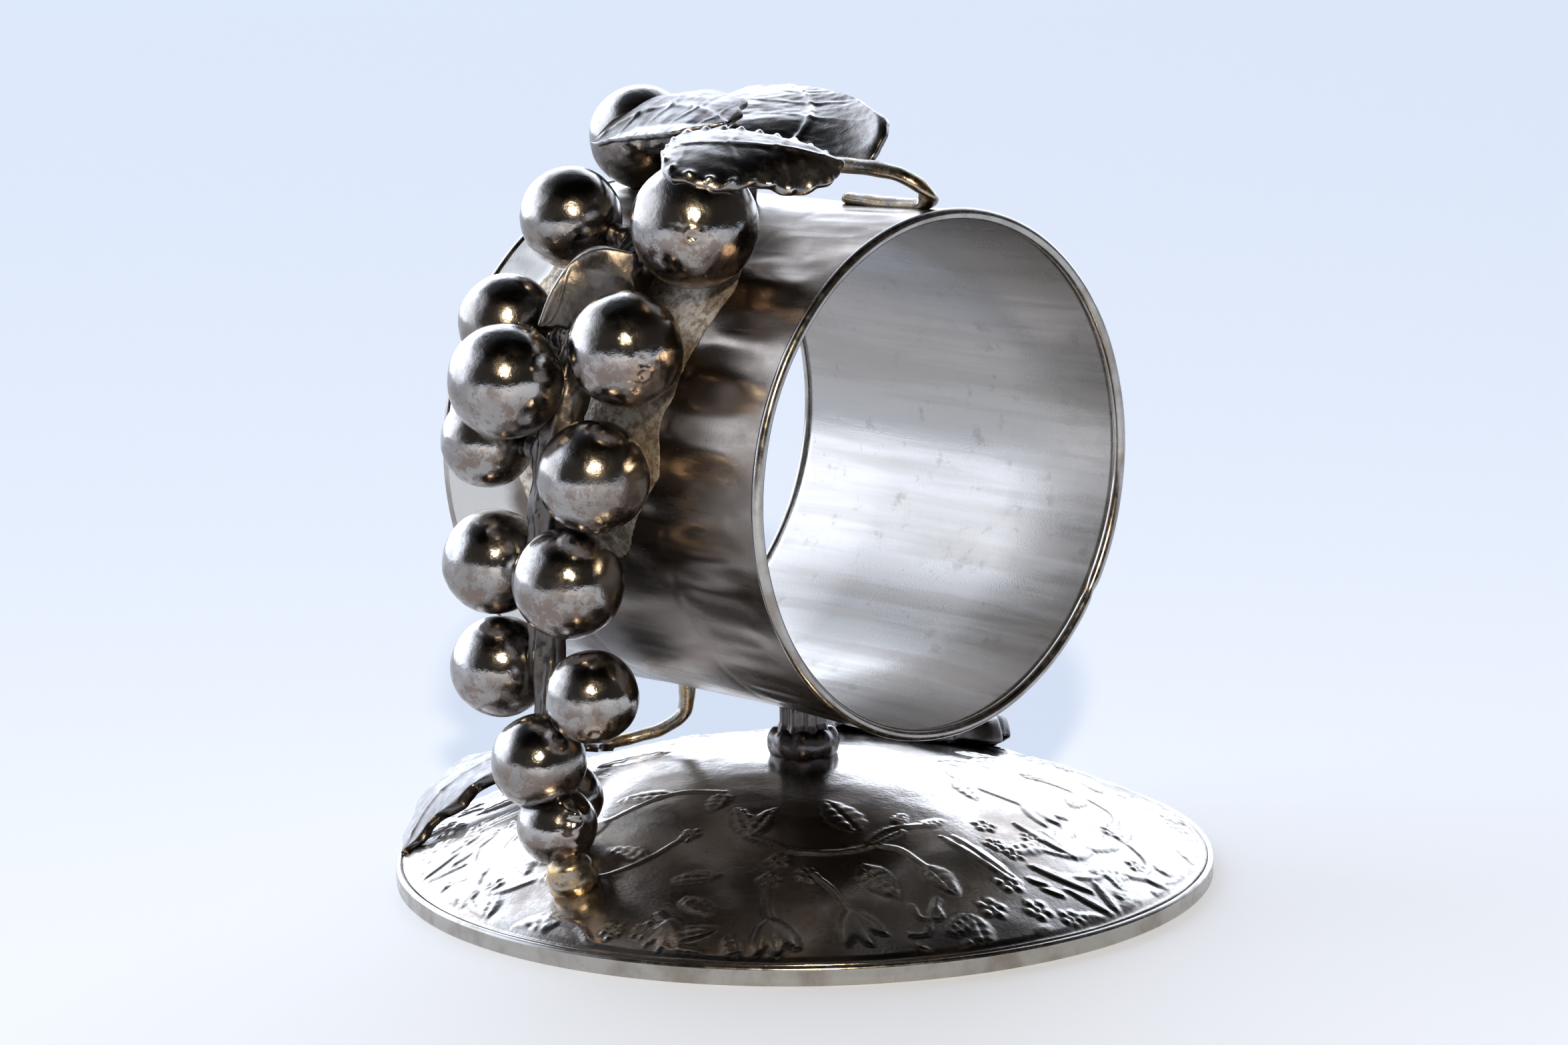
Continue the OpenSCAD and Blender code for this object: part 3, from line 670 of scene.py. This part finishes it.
def leaf(name, node, finish, left, middle, right, seed, veins=5, lobe=0.5, lip=0.5,
         beads=0.0, thick=0.45, roll=0.0):
    """A leaf between three paths that share their ends: points across it follow a parabola from
    one margin over the midrib to the other. Margins wave in lobes and teeth and turn down in a
    lip, save a rolled brim, which is painted bright as a painted highlight; a midrib and side
    veins stand out, with puckers between them."""
    rows, half = 96, 26
    lines = [along(p, rows) for p in (left, middle, right)]
    reach = 1 - np.linspace(0, 1, half, endpoint=False) ** 1.4
    v = np.concatenate([-reach, [0], reach[::-1]])[None, :, None]
    u = np.linspace(0, 1, rows)[:, None]
    spread = ((lines[2] - lines[0]) / 2)[:, None]
    crown = ((lines[2] + lines[0]) / 2 - lines[1])[:, None]
    width = np.linalg.norm(spread[:, 0], axis=1)[:, None]
    run = np.linalg.norm(np.diff(lines[1], axis=0), axis=1).sum()
    teeth = np.abs(np.mod(u * run / 1.3 + 0.3 * seed, 1) - 0.5) - 0.25
    waves = np.sin(2 * math.pi * (u * veins + 0.15 * seed))
    side = np.abs(v[..., 0])
    rolled = (v[..., 0] < 0) & (roll > 0)
    calm = np.where(rolled, 0.2, 1)
    push = 1 + calm * side ** 6 * (lobe * waves + 0.35 * teeth) / np.maximum(width, 1.5)
    bend = v * spread + v ** 2 * crown
    plain = lines[1][:, None] + bend
    blade = lines[1][:, None] + bend * push[..., None]
    ways = np.cross(np.gradient(plain, axis=0), np.gradient(plain, axis=1))
    ways /= np.maximum(np.linalg.norm(ways, axis=-1), 1e-9)[..., None]
    for _ in range(12):
        ways[1:-1] = (ways[:-2] + ways[1:-1] + ways[2:]) / 3
        ways[:, 1:-1] = (ways[:, :-2] + ways[:, 1:-1] + ways[:, 2:]) / 3
    ways /= np.maximum(np.linalg.norm(ways, axis=-1), 1e-9)[..., None]
    if ways[rows // 2, half, 2] < 0:
        ways = -ways
    from_rib = side * width
    rib = 0.2 * np.exp(-(from_rib / 0.28) ** 2)
    phase = np.mod(u * veins - 0.55 * side, 1) - 0.5
    vein = 0.09 * np.exp(-(phase * run / veins / 0.22) ** 2) * np.clip(1.2 - side, 0, 1)
    pucker = 0.08 * np.cos(2 * math.pi * phase) * side * (1.3 - side)
    fine = 0.035 * wave_field(blade, 1.5, seed) + 0.015 * wave_field(blade, 0.6, seed + 9)
    bead = beads * np.clip(np.cos(2 * math.pi * u * run / 1.25), 0, 1) * np.exp(
        -((side - 0.9) * width / 0.3) ** 2)
    brim = np.clip((side - 0.64) / 0.36, 0, 1) * (v[..., 0] < 0)
    bead = bead + roll * brim * (1 + 0.08 * np.cos(2 * math.pi * u * run / 0.9))
    taper = np.sin(math.pi * np.clip(u, 0.02, 0.98)) ** 0.35
    fold = -lip * np.clip((side - 0.9) / 0.1, 0, 1) ** 2 * ~rolled
    lift = (rib + vein - pucker + fine + bead) * taper + fold * taper
    top = blade + ways * lift[..., None]
    bottom = blade + ways * (0.5 * lift + fold * 0.4 - thick * taper)[..., None]
    shell = np.concatenate([top, bottom[:, ::-1]], axis=1)[1:-1]
    points = np.vstack([top[:1, half], shell.reshape(-1, 3), top[-1:, half]])
    # Painted highlight: the rolled brim is marked bright whatever its height, so its finish paints
    # it light.
    proud_and_lip_sheen = np.clip(lift / 0.2 + 3 * roll * brim, -1, 1)
    marks = np.concatenate([proud_and_lip_sheen, np.full_like(proud_and_lip_sheen, -0.5)], axis=1)[1:-1]
    raised = np.concatenate([[0], marks.ravel(), [0]])
    return make_piece(name, points, tube_faces(*shell.shape[:2]), finish, [node],
                      {"raised": raised})


def above_sleeve(path):
    """Points given by X, Y and height above the sleeve's top."""
    return [(x, y, SLEEVE_TOP + h) for x, y, h in path]


def leaves(bright, dark):
    """The five vine leaves, each by its left margin, midrib and right margin."""
    base, tip = (1, -15.8, 5.3), (11.7, -6, 4.4)
    leaf("vine_leaf_front", "leaf_top_front", bright,
         above_sleeve([base, (-0.6, -13.4, 6), (-0.4, -11.6, 6.6), (2, -9.9, 6.8),
                       (4.8, -8.2, 6.4), (8.2, -6.5, 5.5), tip]),
         above_sleeve([base, (3, -15.2, 6), (5, -13.8, 6.2), (7.6, -11.8, 6),
                       (10.2, -9.3, 5.5), tip]),
         above_sleeve([base, (3.4, -18.2, 5), (5.9, -19.4, 4.3), (8.2, -18.6, 3.6),
                       (9.5, -16.4, 3.3), (10.2, -13.4, 2.8), (11.2, -10.4, 2.3),
                       (12, -8, 2.6), tip]),
         2, veins=4, lobe=0.22, lip=0.25, beads=0.3)
    base, tip = (-1.5, -6.2, 6.7), (-16, -8, 4.3)
    leaf("vine_leaf_left", "leaf_top_left", dark,
         above_sleeve([base, (-4.6, -9, 5.8), (-8.3, -8.8, 5.3), (-12, -8.4, 4.8),
                       (-14.6, -8.4, 4.3), tip]),
         above_sleeve([base, (-5.6, -5, 7.5), (-10, -4.8, 7.5), (-13, -6.4, 6.4), tip]),
         above_sleeve([base, (-3.8, -2, 8), (-6.8, 0.2, 8.25), (-9.6, 0.9, 8.4),
                       (-11.6, -0.2, 8.4), (-13.2, -2.8, 8), (-13.8, -5.1, 7.2),
                       (-14.6, -6.6, 6.3), (-15.5, -7.4, 5.2), tip]),
         5, veins=5, lobe=0.4, lip=0.5, roll=0.42)
    base, tip = (-0.8, 0, 4.1), (-9.4, 8.6, 8.35)
    leaf("vine_leaf_right", "leaf_top_right", bright,
         above_sleeve([base, (-6, -1.2, 5.6), (-10.6, 1.8, 7.2), (-13.4, 5.4, 7.8),
                       (-13.2, 7.6, 8.1), tip]),
         above_sleeve([base, (-1.2, 2.6, 6), (-2.8, 4.8, 7), (-5.8, 6.8, 8), tip]),
         above_sleeve([base, (4.6, 0.8, 3.6), (7, 1.6, 4.2), (7.6, 2.4, 5.3), (6.6, 3.4, 6.4),
                       (4.4, 4.8, 7.3), (0.8, 6.4, 7.9), (-4, 7.8, 8.3), tip]),
         7, veins=5, lobe=0.35, lip=0.35)
    base, tip = (-16.2, -6.5, 9), (-24, -24.1, 1.6)
    leaf("foot_leaf_left", "leaf_foot_left", dark,
         [base, (-20, -6, 9), (-25, -9, 8), (-29.2, -12.2, 7), (-30, -15.4, 5.2),
          (-27.6, -20, 3.4), tip],
         [base, (-20, -9.4, 9.6), (-23.4, -14, 8.2), (-25, -19, 5.6), tip],
         [base, (-16.4, -12, 10.3), (-18.6, -16.8, 8.9), (-21, -20, 6.2),
          (-22.6, -22.2, 3.9), tip],
         11, veins=5, lobe=0.7, lip=0.6)
    base, tip = (-5, 9.8, 10.5), (-9, 29, 4)
    leaf("foot_leaf_right", "leaf_foot_right", dark,
         [base, (-1.2, 11, 10.6), (2.6, 14.2, 10.4), (4, 19, 9.8), (0.8, 24.2, 9),
          (-3.8, 27.8, 5.6), tip],
         [base, (-5, 14, 11.2), (-5, 20, 9.6), (-6.5, 25.5, 6.4), tip],
         [base, (-9.5, 12, 10), (-12.5, 17, 8.4), (-13, 23, 6), (-11, 27.4, 4.4), tip],
         13, veins=5, lobe=0.6, lip=1.6)


def stems(finish):
    """The vine stem over the sleeve and the two tendrils that hold the leaves on the foot."""
    under = AXIS_Z - SLEEVE_R
    routes = {
        "vine_stem_curl": ("vine_stem_top", 0.62, 0.95, above_sleeve([
            (-4, -3.5, 4.4), (1, -4, 4), (5, -3.6, 3.7), (9, -2.9, 3.7), (12.2, -2.2, 3.5),
            (14.4, -1.3, 2.8), (15, -0.2, 1.7), (14, 0.8, 0.7), (11.4, 1.2, 0.4),
            (8, 1.2, 0.35), (4.6, 1.4, 0.4)])),
        "foot_tendril_left": ("tendril_left", 0.62, 0.72, [
            (-12.6, -1.4, under + 0.3), (-12.6, -1.5, 12.8), (-12.9, -1.8, 11.4),
            (-14.2, -2.8, 10.2), (-16, -4.6, 9.4), (-17, -6.8, 9.1), (-18.4, -9, 9.2)]),
        "foot_tendril_right": ("tendril_right", 0.62, 0.72, [
            (-6.6, 7, under + 1.5), (-6.6, 7.2, 12.6), (-6.4, 8.2, 11.3), (-5.6, 10, 10.9),
            (-5.2, 12.6, 11)]),
    }
    for name, (node, thin, wide, path) in routes.items():
        route = catmull(path, 9)
        points, faces = stem_mesh(
            route, lambda s, a: (wide * (1 - 0.25 * s) * np.cos(a) * (1 + 0.05 * np.sin(23 * s)),
                                 thin * (1 - 0.25 * s) * np.sin(a)), 18, (0.3, -0.2, 1))
        points = points + 0.05 * wave_field(points, 2, len(name))[:, None] * (0, 0, 1)
        make_piece(name, points, faces, finish, [node])


def bract(finish):
    """The small bract on the stalk: a pinched leaf, folded along its midrib like a beak."""
    base, tip = on_sleeve(0.4, 45, 5), on_sleeve(-4.9, 62, 6.2)
    middle = [base, on_sleeve(-1.4, 47, 6.5), on_sleeve(-3.1, 50, 6.9), on_sleeve(-4.1, 56, 6.8),
              tip]
    left = [base, on_sleeve(-2.6, 44.5, 4.6), on_sleeve(-4.6, 48.5, 4.4),
            on_sleeve(-5.3, 56, 4.8), tip]
    right = [base, on_sleeve(0.6, 50, 3.6), on_sleeve(-1.2, 55, 3.2), on_sleeve(-3.2, 60, 4.2),
             tip]
    leaf("stalk_bract", "bract", finish, left, middle, right, 4, veins=1,
         lobe=0.05, lip=0.1, thick=0.4)


# ---------------------------------------------------------------- finishes

class Finish:
    """A material under construction: its nodes, with short ways to add and join them."""

    def __init__(self, name):
        self.material = bpy.data.materials.new(name)
        self.material.use_nodes = True
        self.tree = self.material.node_tree
        self.tree.nodes.clear()
        self.skin = self.tree.nodes.new("ShaderNodeBsdfPrincipled")
        out = self.tree.nodes.new("ShaderNodeOutputMaterial")
        self.tree.links.new(self.skin.outputs[0], out.inputs[0])
        self.place = self.tree.nodes.new("ShaderNodeTexCoord").outputs["Object"]

    def put(self, socket, value):
        if isinstance(value, bpy.types.NodeSocket):
            self.tree.links.new(value, socket)
        else:
            socket.default_value = value

    def noise(self, size_mm, detail=4.0, rough=0.55, stretch=None):
        """Noise whose lumps are about size_mm across, drawn out along an axis by stretch."""
        node = self.tree.nodes.new("ShaderNodeTexNoise")
        node.inputs["Scale"].default_value = 1 / (size_mm * MM)
        node.inputs["Detail"].default_value = detail
        node.inputs["Roughness"].default_value = rough
        place = self.place
        if stretch:
            turn = self.tree.nodes.new("ShaderNodeMapping")
            turn.inputs["Scale"].default_value = stretch
            self.put(turn.inputs["Vector"], place)
            place = turn.outputs[0]
        self.put(node.inputs["Vector"], place)
        return node.outputs[0]

    def ramp(self, value, low, high, to_low=0.0, to_high=1.0):
        """The value between low and high, spread smoothly from to_low to to_high."""
        node = self.tree.nodes.new("ShaderNodeMapRange")
        node.interpolation_type = "SMOOTHSTEP"
        for socket, v in zip(node.inputs, (value, low, high, to_low, to_high)):
            self.put(socket, v)
        return node.outputs[0]

    def sum(self, kind, a, b):
        node = self.tree.nodes.new("ShaderNodeMath")
        node.operation = kind
        self.put(node.inputs[0], a)
        self.put(node.inputs[1], b)
        return node.outputs[0]

    def mix(self, share, a, b):
        """Colour a going over to colour b by share."""
        node = self.tree.nodes.new("ShaderNodeMix")
        node.data_type = "RGBA"
        self.put(node.inputs[0], share)
        self.put(node.inputs[6], a)
        self.put(node.inputs[7], b)
        return node.outputs[2]

    def mark(self, name):
        node = self.tree.nodes.new("ShaderNodeAttribute")
        node.attribute_name = name
        return node.outputs["Fac"]

    def facing(self, axis):
        """How far the surface faces up (axis 2) or along another axis of the frame."""
        split = self.tree.nodes.new("ShaderNodeSeparateXYZ")
        way = self.tree.nodes.new("ShaderNodeNewGeometry")
        self.put(split.inputs[0], way.outputs["Normal"])
        return split.outputs[axis]

    def along(self, axis):
        """Where the surface lies along an axis of the frame."""
        split = self.tree.nodes.new("ShaderNodeSeparateXYZ")
        self.put(split.inputs[0], self.place)
        return split.outputs[axis]

    def bump(self, height, depth_mm, under=None):
        node = self.tree.nodes.new("ShaderNodeBump")
        node.inputs["Distance"].default_value = depth_mm * MM
        self.put(node.inputs["Height"], height)
        if under is not None:
            self.put(node.inputs["Normal"], under)
        return node.outputs[0]

    def finish(self, colour, rough, normal):
        self.skin.inputs["Metallic"].default_value = 1.0
        self.put(self.skin.inputs["Base Color"], colour)
        self.put(self.skin.inputs["Roughness"], rough)
        self.put(self.skin.inputs["Normal"], normal)
        return self.material


TARNISH = (0.20, 0.175, 0.155, 1)
# Dark colour for real grime specks and patina in hollows, and for painted shade where parts come
# close together.
GRIME_AND_SHADE = (0.03, 0.026, 0.023, 1)
STAIN = (0.20, 0.145, 0.12, 1)
BRASS = (0.50, 0.37, 0.20, 1)


def satin_plate():
    """The sleeve's plate: dark outside and brighter within, brushed round, with fine pits and a
    pale crust of solder round the berries. Painted shade darkens the outside where it faces down
    and the top of the bore, and a painted reflection of the window makes the outside pale towards
    the back rim."""
    f = Finish("satin_worn_plate")
    cloud = f.ramp(f.noise(9, 5), 0.4, 0.66)
    brush = f.noise(0.9, 3, 0.6, (0.05, 1, 1))
    streak = f.ramp(f.noise(2.4, 4, 0.6, (0.05, 1, 1)), 0.42, 0.62)
    pits = f.noise(0.12, 2, 0.5)
    crust = f.ramp(f.sum("ADD", f.mark("solder"), f.sum("MULTIPLY", f.noise(1.3, 5, 0.65), 0.6)),
                   0.7, 1.0)
    outside = f.mix(cloud, (0.30, 0.265, 0.235, 1), (0.215, 0.18, 0.155, 1))
    inside = f.mix(streak, (0.50, 0.48, 0.46, 1), (0.43, 0.405, 0.38, 1))
    # Painted shade: the inside is darkened towards dark brown where it faces down, at the top of
    # the bore.
    overhead = f.sum("MULTIPLY", f.ramp(f.facing(2), 0.35, -0.8), 0.6)
    inside = f.mix(overhead, inside, (0.22, 0.195, 0.17, 1))
    # Painted shade: the outside is darkened towards near black where it faces down.
    below = f.sum("MULTIPLY", f.ramp(f.facing(2), 0.15, -0.45), 0.62)
    outside = f.mix(below, outside, (0.07, 0.055, 0.045, 1))
    # Painted reflection of the window: the outside is painted pale towards the back rim, past a
    # ragged line near x = -9 to -12 mm.
    ragged = f.sum("ADD", f.along(0), f.sum("MULTIPLY", f.noise(3, 4, 0.6), 4 * MM))
    outside = f.mix(f.ramp(ragged, -9 * MM, -12 * MM, 0, 0.85), outside, (0.74, 0.72, 0.68, 1))
    colour = f.mix(f.mark("inner"), outside, inside)
    colour = f.mix(f.ramp(f.noise(2.2, 6, 0.7), 0.56, 0.72, 0, 0.4), colour, TARNISH)
    mottle = f.mix(f.ramp(f.noise(0.8, 6, 0.7), 0.42, 0.6), (0.80, 0.74, 0.64, 1),
                   (0.42, 0.33, 0.25, 1))
    colour = f.mix(crust, colour, mottle)
    rough = f.sum("ADD", f.ramp(cloud, 0, 1, 0.19, 0.27), f.ramp(brush, 0.35, 0.7, 0, 0.08))
    rough = f.sum("ADD", rough, f.ramp(crust, 0, 1, 0, 0.32))
    grain = f.bump(brush, 0.005, f.bump(pits, 0.006))
    lumps = f.bump(f.sum("MULTIPLY", crust, f.noise(0.5, 4, 0.6)), 0.1, grain)
    return f.finish(colour, rough, lumps)


def bright_plate():
    """Edges and rims: the plate rubbed bright, with a few stains and fine scratches."""
    f = Finish("rubbed_bright_plate")
    cloud = f.ramp(f.noise(3.5, 5), 0.42, 0.68)
    scratch = f.noise(0.9, 3, 0.6)
    colour = f.mix(cloud, (0.46, 0.45, 0.43, 1), (0.32, 0.29, 0.26, 1))
    colour = f.mix(f.ramp(f.noise(0.8, 5, 0.7), 0.62, 0.74, 0, 0.4), colour, TARNISH)
    rough = f.ramp(scratch, 0.3, 0.7, 0.16, 0.3)
    return f.finish(colour, rough, f.bump(scratch, 0.004))


def stamped_plate():
    """The foot: dark toned plate, worn brighter on the raised pattern and dull in the hollows
    beside it."""
    f = Finish("toned_stamped_plate")
    high = f.mark("raised")
    cloud = f.ramp(f.noise(6, 6, 0.62), 0.4, 0.66)
    speck = f.ramp(f.noise(0.5, 5, 0.7), 0.56, 0.7)
    colour = f.mix(cloud, (0.56, 0.535, 0.51, 1), (0.34, 0.29, 0.25, 1))
    colour = f.mix(f.sum("MULTIPLY", speck, 0.35), colour, GRIME_AND_SHADE)
    hollow = f.sum("MULTIPLY", f.ramp(high, 0.01, 0.16), f.ramp(high, 0.5, 0.2))
    colour = f.mix(f.sum("MULTIPLY", hollow, 0.3), colour, GRIME_AND_SHADE)
    colour = f.mix(f.ramp(high, 0.45, 0.9, 0, 0.7), colour, (0.66, 0.65, 0.63, 1))
    rough = f.sum("ADD", f.ramp(cloud, 0, 1, 0.15, 0.26), f.ramp(hollow, 0, 1, 0, 0.1))
    fine = f.bump(f.noise(0.28, 4, 0.6), 0.012)
    return f.finish(colour, rough, f.bump(f.noise(1.6, 3), 0.03, fine))


def cast_plate():
    """Berries: cast plate, clouded and stained on the undersides and darkened there as painted
    shade, darkened with painted shade close to their neighbours and the sleeve, rough at the
    casting marks."""
    f = Finish("clouded_cast_plate")
    under = f.ramp(f.facing(2), 0.3, -0.35)
    smudge = f.ramp(f.noise(1.7, 9, 0.75), 0.475, 0.54)
    film = f.ramp(f.noise(3.6, 5, 0.6), 0.42, 0.6)
    colour = f.mix(film, (0.50, 0.49, 0.48, 1), (0.34, 0.32, 0.30, 1))
    stained = f.sum("MULTIPLY", smudge, f.ramp(under, 0, 1, 0.1, 0.75))
    # Painted shade: the undersides are darkened by up to half towards dark brown.
    colour = f.mix(f.sum("MULTIPLY", under, 0.5), colour, (0.17, 0.145, 0.13, 1))
    colour = f.mix(stained, colour, STAIN)
    colour = f.mix(f.ramp(f.mark("scar"), 0.1, 0.9, 0, 0.5), colour, (0.34, 0.24, 0.18, 1))
    # Painted shade where the berries come close together.
    colour = f.mix(f.ramp(f.mark("crowd"), 0.4, 1, 0, 0.85), colour, GRIME_AND_SHADE)
    speck = f.ramp(f.noise(0.3, 4, 0.7), 0.58, 0.72, 0, 0.6)
    colour = f.mix(speck, colour, TARNISH)
    rough = f.sum("ADD", f.ramp(film, 0, 1, 0.11, 0.2), f.ramp(stained, 0, 1, 0, 0.16))
    rough = f.sum("ADD", rough, f.ramp(f.mark("scar"), 0.2, 1, 0, 0.15))
    fine = f.bump(f.noise(0.22, 4, 0.65), 0.009)
    return f.finish(colour, rough, f.bump(f.noise(1.3, 4, 0.6), 0.045, fine))


def leaf_plate(name, colour_high, colour_low, rough_low, rough_high):
    """Leaves and stalk: plate toned dark in the veins' hollows, rubbed bright on what is raised
    and painted bright along a rolled brim as a painted highlight, darkened as painted shade near
    the berries, with a fine crinkle all over."""
    f = Finish(name)
    proud_and_lip_sheen = f.ramp(f.mark("raised"), 0.1, 0.9)
    cloud = f.ramp(f.noise(2.6, 6, 0.65), 0.4, 0.66)
    colour = f.mix(proud_and_lip_sheen, colour_low, colour_high)
    colour = f.mix(f.sum("MULTIPLY", cloud, 0.5), colour, TARNISH)
    # Painted shade near the berries, on the stalk.
    colour = f.mix(f.ramp(f.mark("crowd"), 0.3, 1, 0, 0.8), colour, GRIME_AND_SHADE)
    colour = f.mix(f.ramp(f.noise(0.35, 5, 0.7), 0.58, 0.7, 0, 0.5), colour, GRIME_AND_SHADE)
    rough = f.ramp(cloud, 0, 1, rough_low, rough_high)
    crinkle = f.bump(f.noise(0.2, 3, 0.6), 0.012)
    return f.finish(colour, rough, f.bump(f.noise(0.9, 4, 0.6), 0.03, crinkle))


def worn_brass():
    """Stems: plate worn through to the brass, dark in the low spots."""
    f = Finish("plate_worn_to_brass")
    worn = f.ramp(f.noise(1.8, 5, 0.6), 0.42, 0.66)
    colour = f.mix(worn, (0.36, 0.33, 0.29, 1), BRASS)
    colour = f.mix(f.ramp(f.noise(0.5, 5, 0.7), 0.54, 0.7, 0, 0.7), colour, GRIME_AND_SHADE)
    rough = f.ramp(f.noise(0.8, 4), 0.3, 0.7, 0.2, 0.4)
    return f.finish(colour, rough, f.bump(f.noise(0.4, 4, 0.6), 0.03))


# ---------------------------------------------------------------- the piece as a whole

satin, bright = satin_plate(), bright_plate()
stamped, cast, brass = stamped_plate(), cast_plate(), worn_brass()
# Lit and shaded copies of one leaf plate: the darker copy is painted shade, given to the left vine
# leaf, the foot leaves and the post.
leaf_bright = leaf_plate("leaf_plate_rubbed", (0.62, 0.61, 0.60, 1), (0.27, 0.26, 0.255, 1),
                         0.2, 0.34)
leaf_dark = leaf_plate("leaf_plate_toned", (0.46, 0.45, 0.45, 1), (0.15, 0.145, 0.15, 1),
                       0.24, 0.4)
dull = leaf_plate("dull_plate", (0.42, 0.40, 0.385, 1), (0.13, 0.12, 0.115, 1), 0.3, 0.44)

foot_dome(stamped)
foot_rim(bright)
post_collar(leaf_dark)
post_neck(leaf_dark)
sleeve(satin)
rim_wire(1, "rim_wire_front", bright)
rim_wire(-1, "rim_wire_back", bright)
for number in range(1, 16):
    berry(number, cast)
tail_bud(brass)
stalk(dull)
bract(dull)
leaves(leaf_bright, leaf_dark)
stems(brass)


# ---------------------------------------------------------------- floor, light and camera

def plain_finish(name, colour, glow):
    """A matt colour with a little light of its own, as if the room lit it evenly."""
    f = Finish(name)
    f.skin.inputs["Base Color"].default_value = colour
    f.skin.inputs["Roughness"].default_value = 0.8
    f.skin.inputs["Emission Color"].default_value = colour
    f.skin.inputs["Emission Strength"].default_value = glow
    return f.material


def floor():
    """A wide pale table top."""
    half = 2.5
    mesh = bpy.data.meshes.new("table_top")
    mesh.from_pydata([(-half, -half, 0), (half, -half, 0), (half, half, 0), (-half, half, 0)],
                     [], [(0, 1, 2, 3)])
    mesh.materials.append(plain_finish("pale_table", (0.74, 0.80, 0.90, 1), 0.34))
    top = bpy.data.objects.new("table_top", mesh)
    scene.collection.objects.link(top)


CAMERA_AZ, CAMERA_EL, CAMERA_ROLL = 45.74, 10.95, -0.83
CAMERA_REACH, CAMERA_LENS = 0.3615, 100.1
AIM = Vector((-0.95, -0.95, 29.57)) * MM


def way_to(azimuth, elevation):
    """Direction from the object towards an azimuth, counted from -Y towards +X, and elevation."""
    a, e = math.radians(azimuth), math.radians(elevation)
    return Vector((math.cos(e) * math.sin(a), -math.cos(e) * math.cos(a), math.sin(e)))


def camera():
    back = way_to(CAMERA_AZ, CAMERA_EL)
    level = Matrix.Rotation(math.radians(CAMERA_AZ), 4, "Z") @ Matrix.Rotation(
        math.radians(90 - CAMERA_EL), 4, "X")
    data = bpy.data.cameras.new("camera")
    data.lens, data.sensor_width = CAMERA_LENS, 36
    data.clip_start = 0.01
    lens = bpy.data.objects.new("camera", data)
    lens.matrix_world = (Matrix.Translation(AIM + back * CAMERA_REACH) @ level
                         @ Matrix.Rotation(math.radians(CAMERA_ROLL), 4, "Z"))
    scene.collection.objects.link(lens)
    scene.camera = lens


def lamp(name, azimuth, elevation, reach, size, power, colour):
    """A round soft lamp that faces the object."""
    data = bpy.data.lights.new(name, "AREA")
    data.shape, data.size, data.energy, data.color = "DISK", size, power, colour
    light = bpy.data.objects.new(name, data)
    way = way_to(azimuth, elevation)
    light.location = Vector((0, 0, AXIS_Z * MM)) + way * reach
    light.rotation_euler = way.to_track_quat("Z", "Y").to_euler()
    scene.collection.objects.link(light)


def studio():
    """A big soft window behind the object, a dim room on the other side of it, and a plain pale
    ground for what the camera sees directly."""
    world = bpy.data.worlds.new("studio")
    scene.world = world
    world.use_nodes = True
    tree = world.node_tree
    tree.nodes.clear()
    add, join = tree.nodes.new, tree.links.new
    place = add("ShaderNodeTexCoord")
    behind = add("ShaderNodeVectorMath")
    behind.operation = "DOT_PRODUCT"
    behind.inputs[1].default_value = (-0.95, 0.31, 0)
    join(place.outputs["Generated"], behind.inputs[0])
    window = add("ShaderNodeValToRGB")
    stops = [(0.0, (0.03, 0.025, 0.021)), (0.48, (0.055, 0.05, 0.047)),
             (0.58, (0.45, 0.47, 0.53)), (0.72, (1.9, 2.05, 2.35)), (1.0, (3.1, 3.4, 3.9))]
    spread = add("ShaderNodeMapRange")
    spread.inputs[1].default_value = -1
    join(behind.outputs["Value"], spread.inputs[0])
    join(spread.outputs[0], window.inputs[0])
    for k, (at, colour) in enumerate(stops):
        stop = window.color_ramp.elements[k] if k < 2 else window.color_ramp.elements.new(at)
        stop.position, stop.color = at, (*colour, 1)
    height = add("ShaderNodeSeparateXYZ")
    join(place.outputs["Generated"], height.inputs[0])
    lintel = add("ShaderNodeMapRange")
    lintel.interpolation_type = "SMOOTHSTEP"
    for socket, value in zip(list(lintel.inputs)[1:], (0.5, 0.84, 1.0, 0.03)):
        socket.default_value = value
    join(height.outputs[2], lintel.inputs[0])
    dimmed = add("ShaderNodeVectorMath")
    dimmed.operation = "SCALE"
    join(window.outputs[0], dimmed.inputs[0])
    join(lintel.outputs[0], dimmed.inputs["Scale"])
    seen = add("ShaderNodeLightPath")
    choose = add("ShaderNodeMix")
    choose.data_type = "RGBA"
    choose.inputs[7].default_value = (0.80, 0.85, 0.93, 1)
    join(seen.outputs["Is Camera Ray"], choose.inputs[0])
    join(dimmed.outputs[0], choose.inputs[6])
    ground = add("ShaderNodeBackground")
    join(choose.outputs[2], ground.inputs[0])
    out = add("ShaderNodeOutputWorld")
    join(ground.outputs[0], out.inputs[0])


floor()
camera()
studio()
lamp("key_lamp", CAMERA_AZ + 2, 28, 0.6, 0.028, 2.4, (1.0, 0.8, 0.54))
scene.view_settings.view_transform = "Standard"
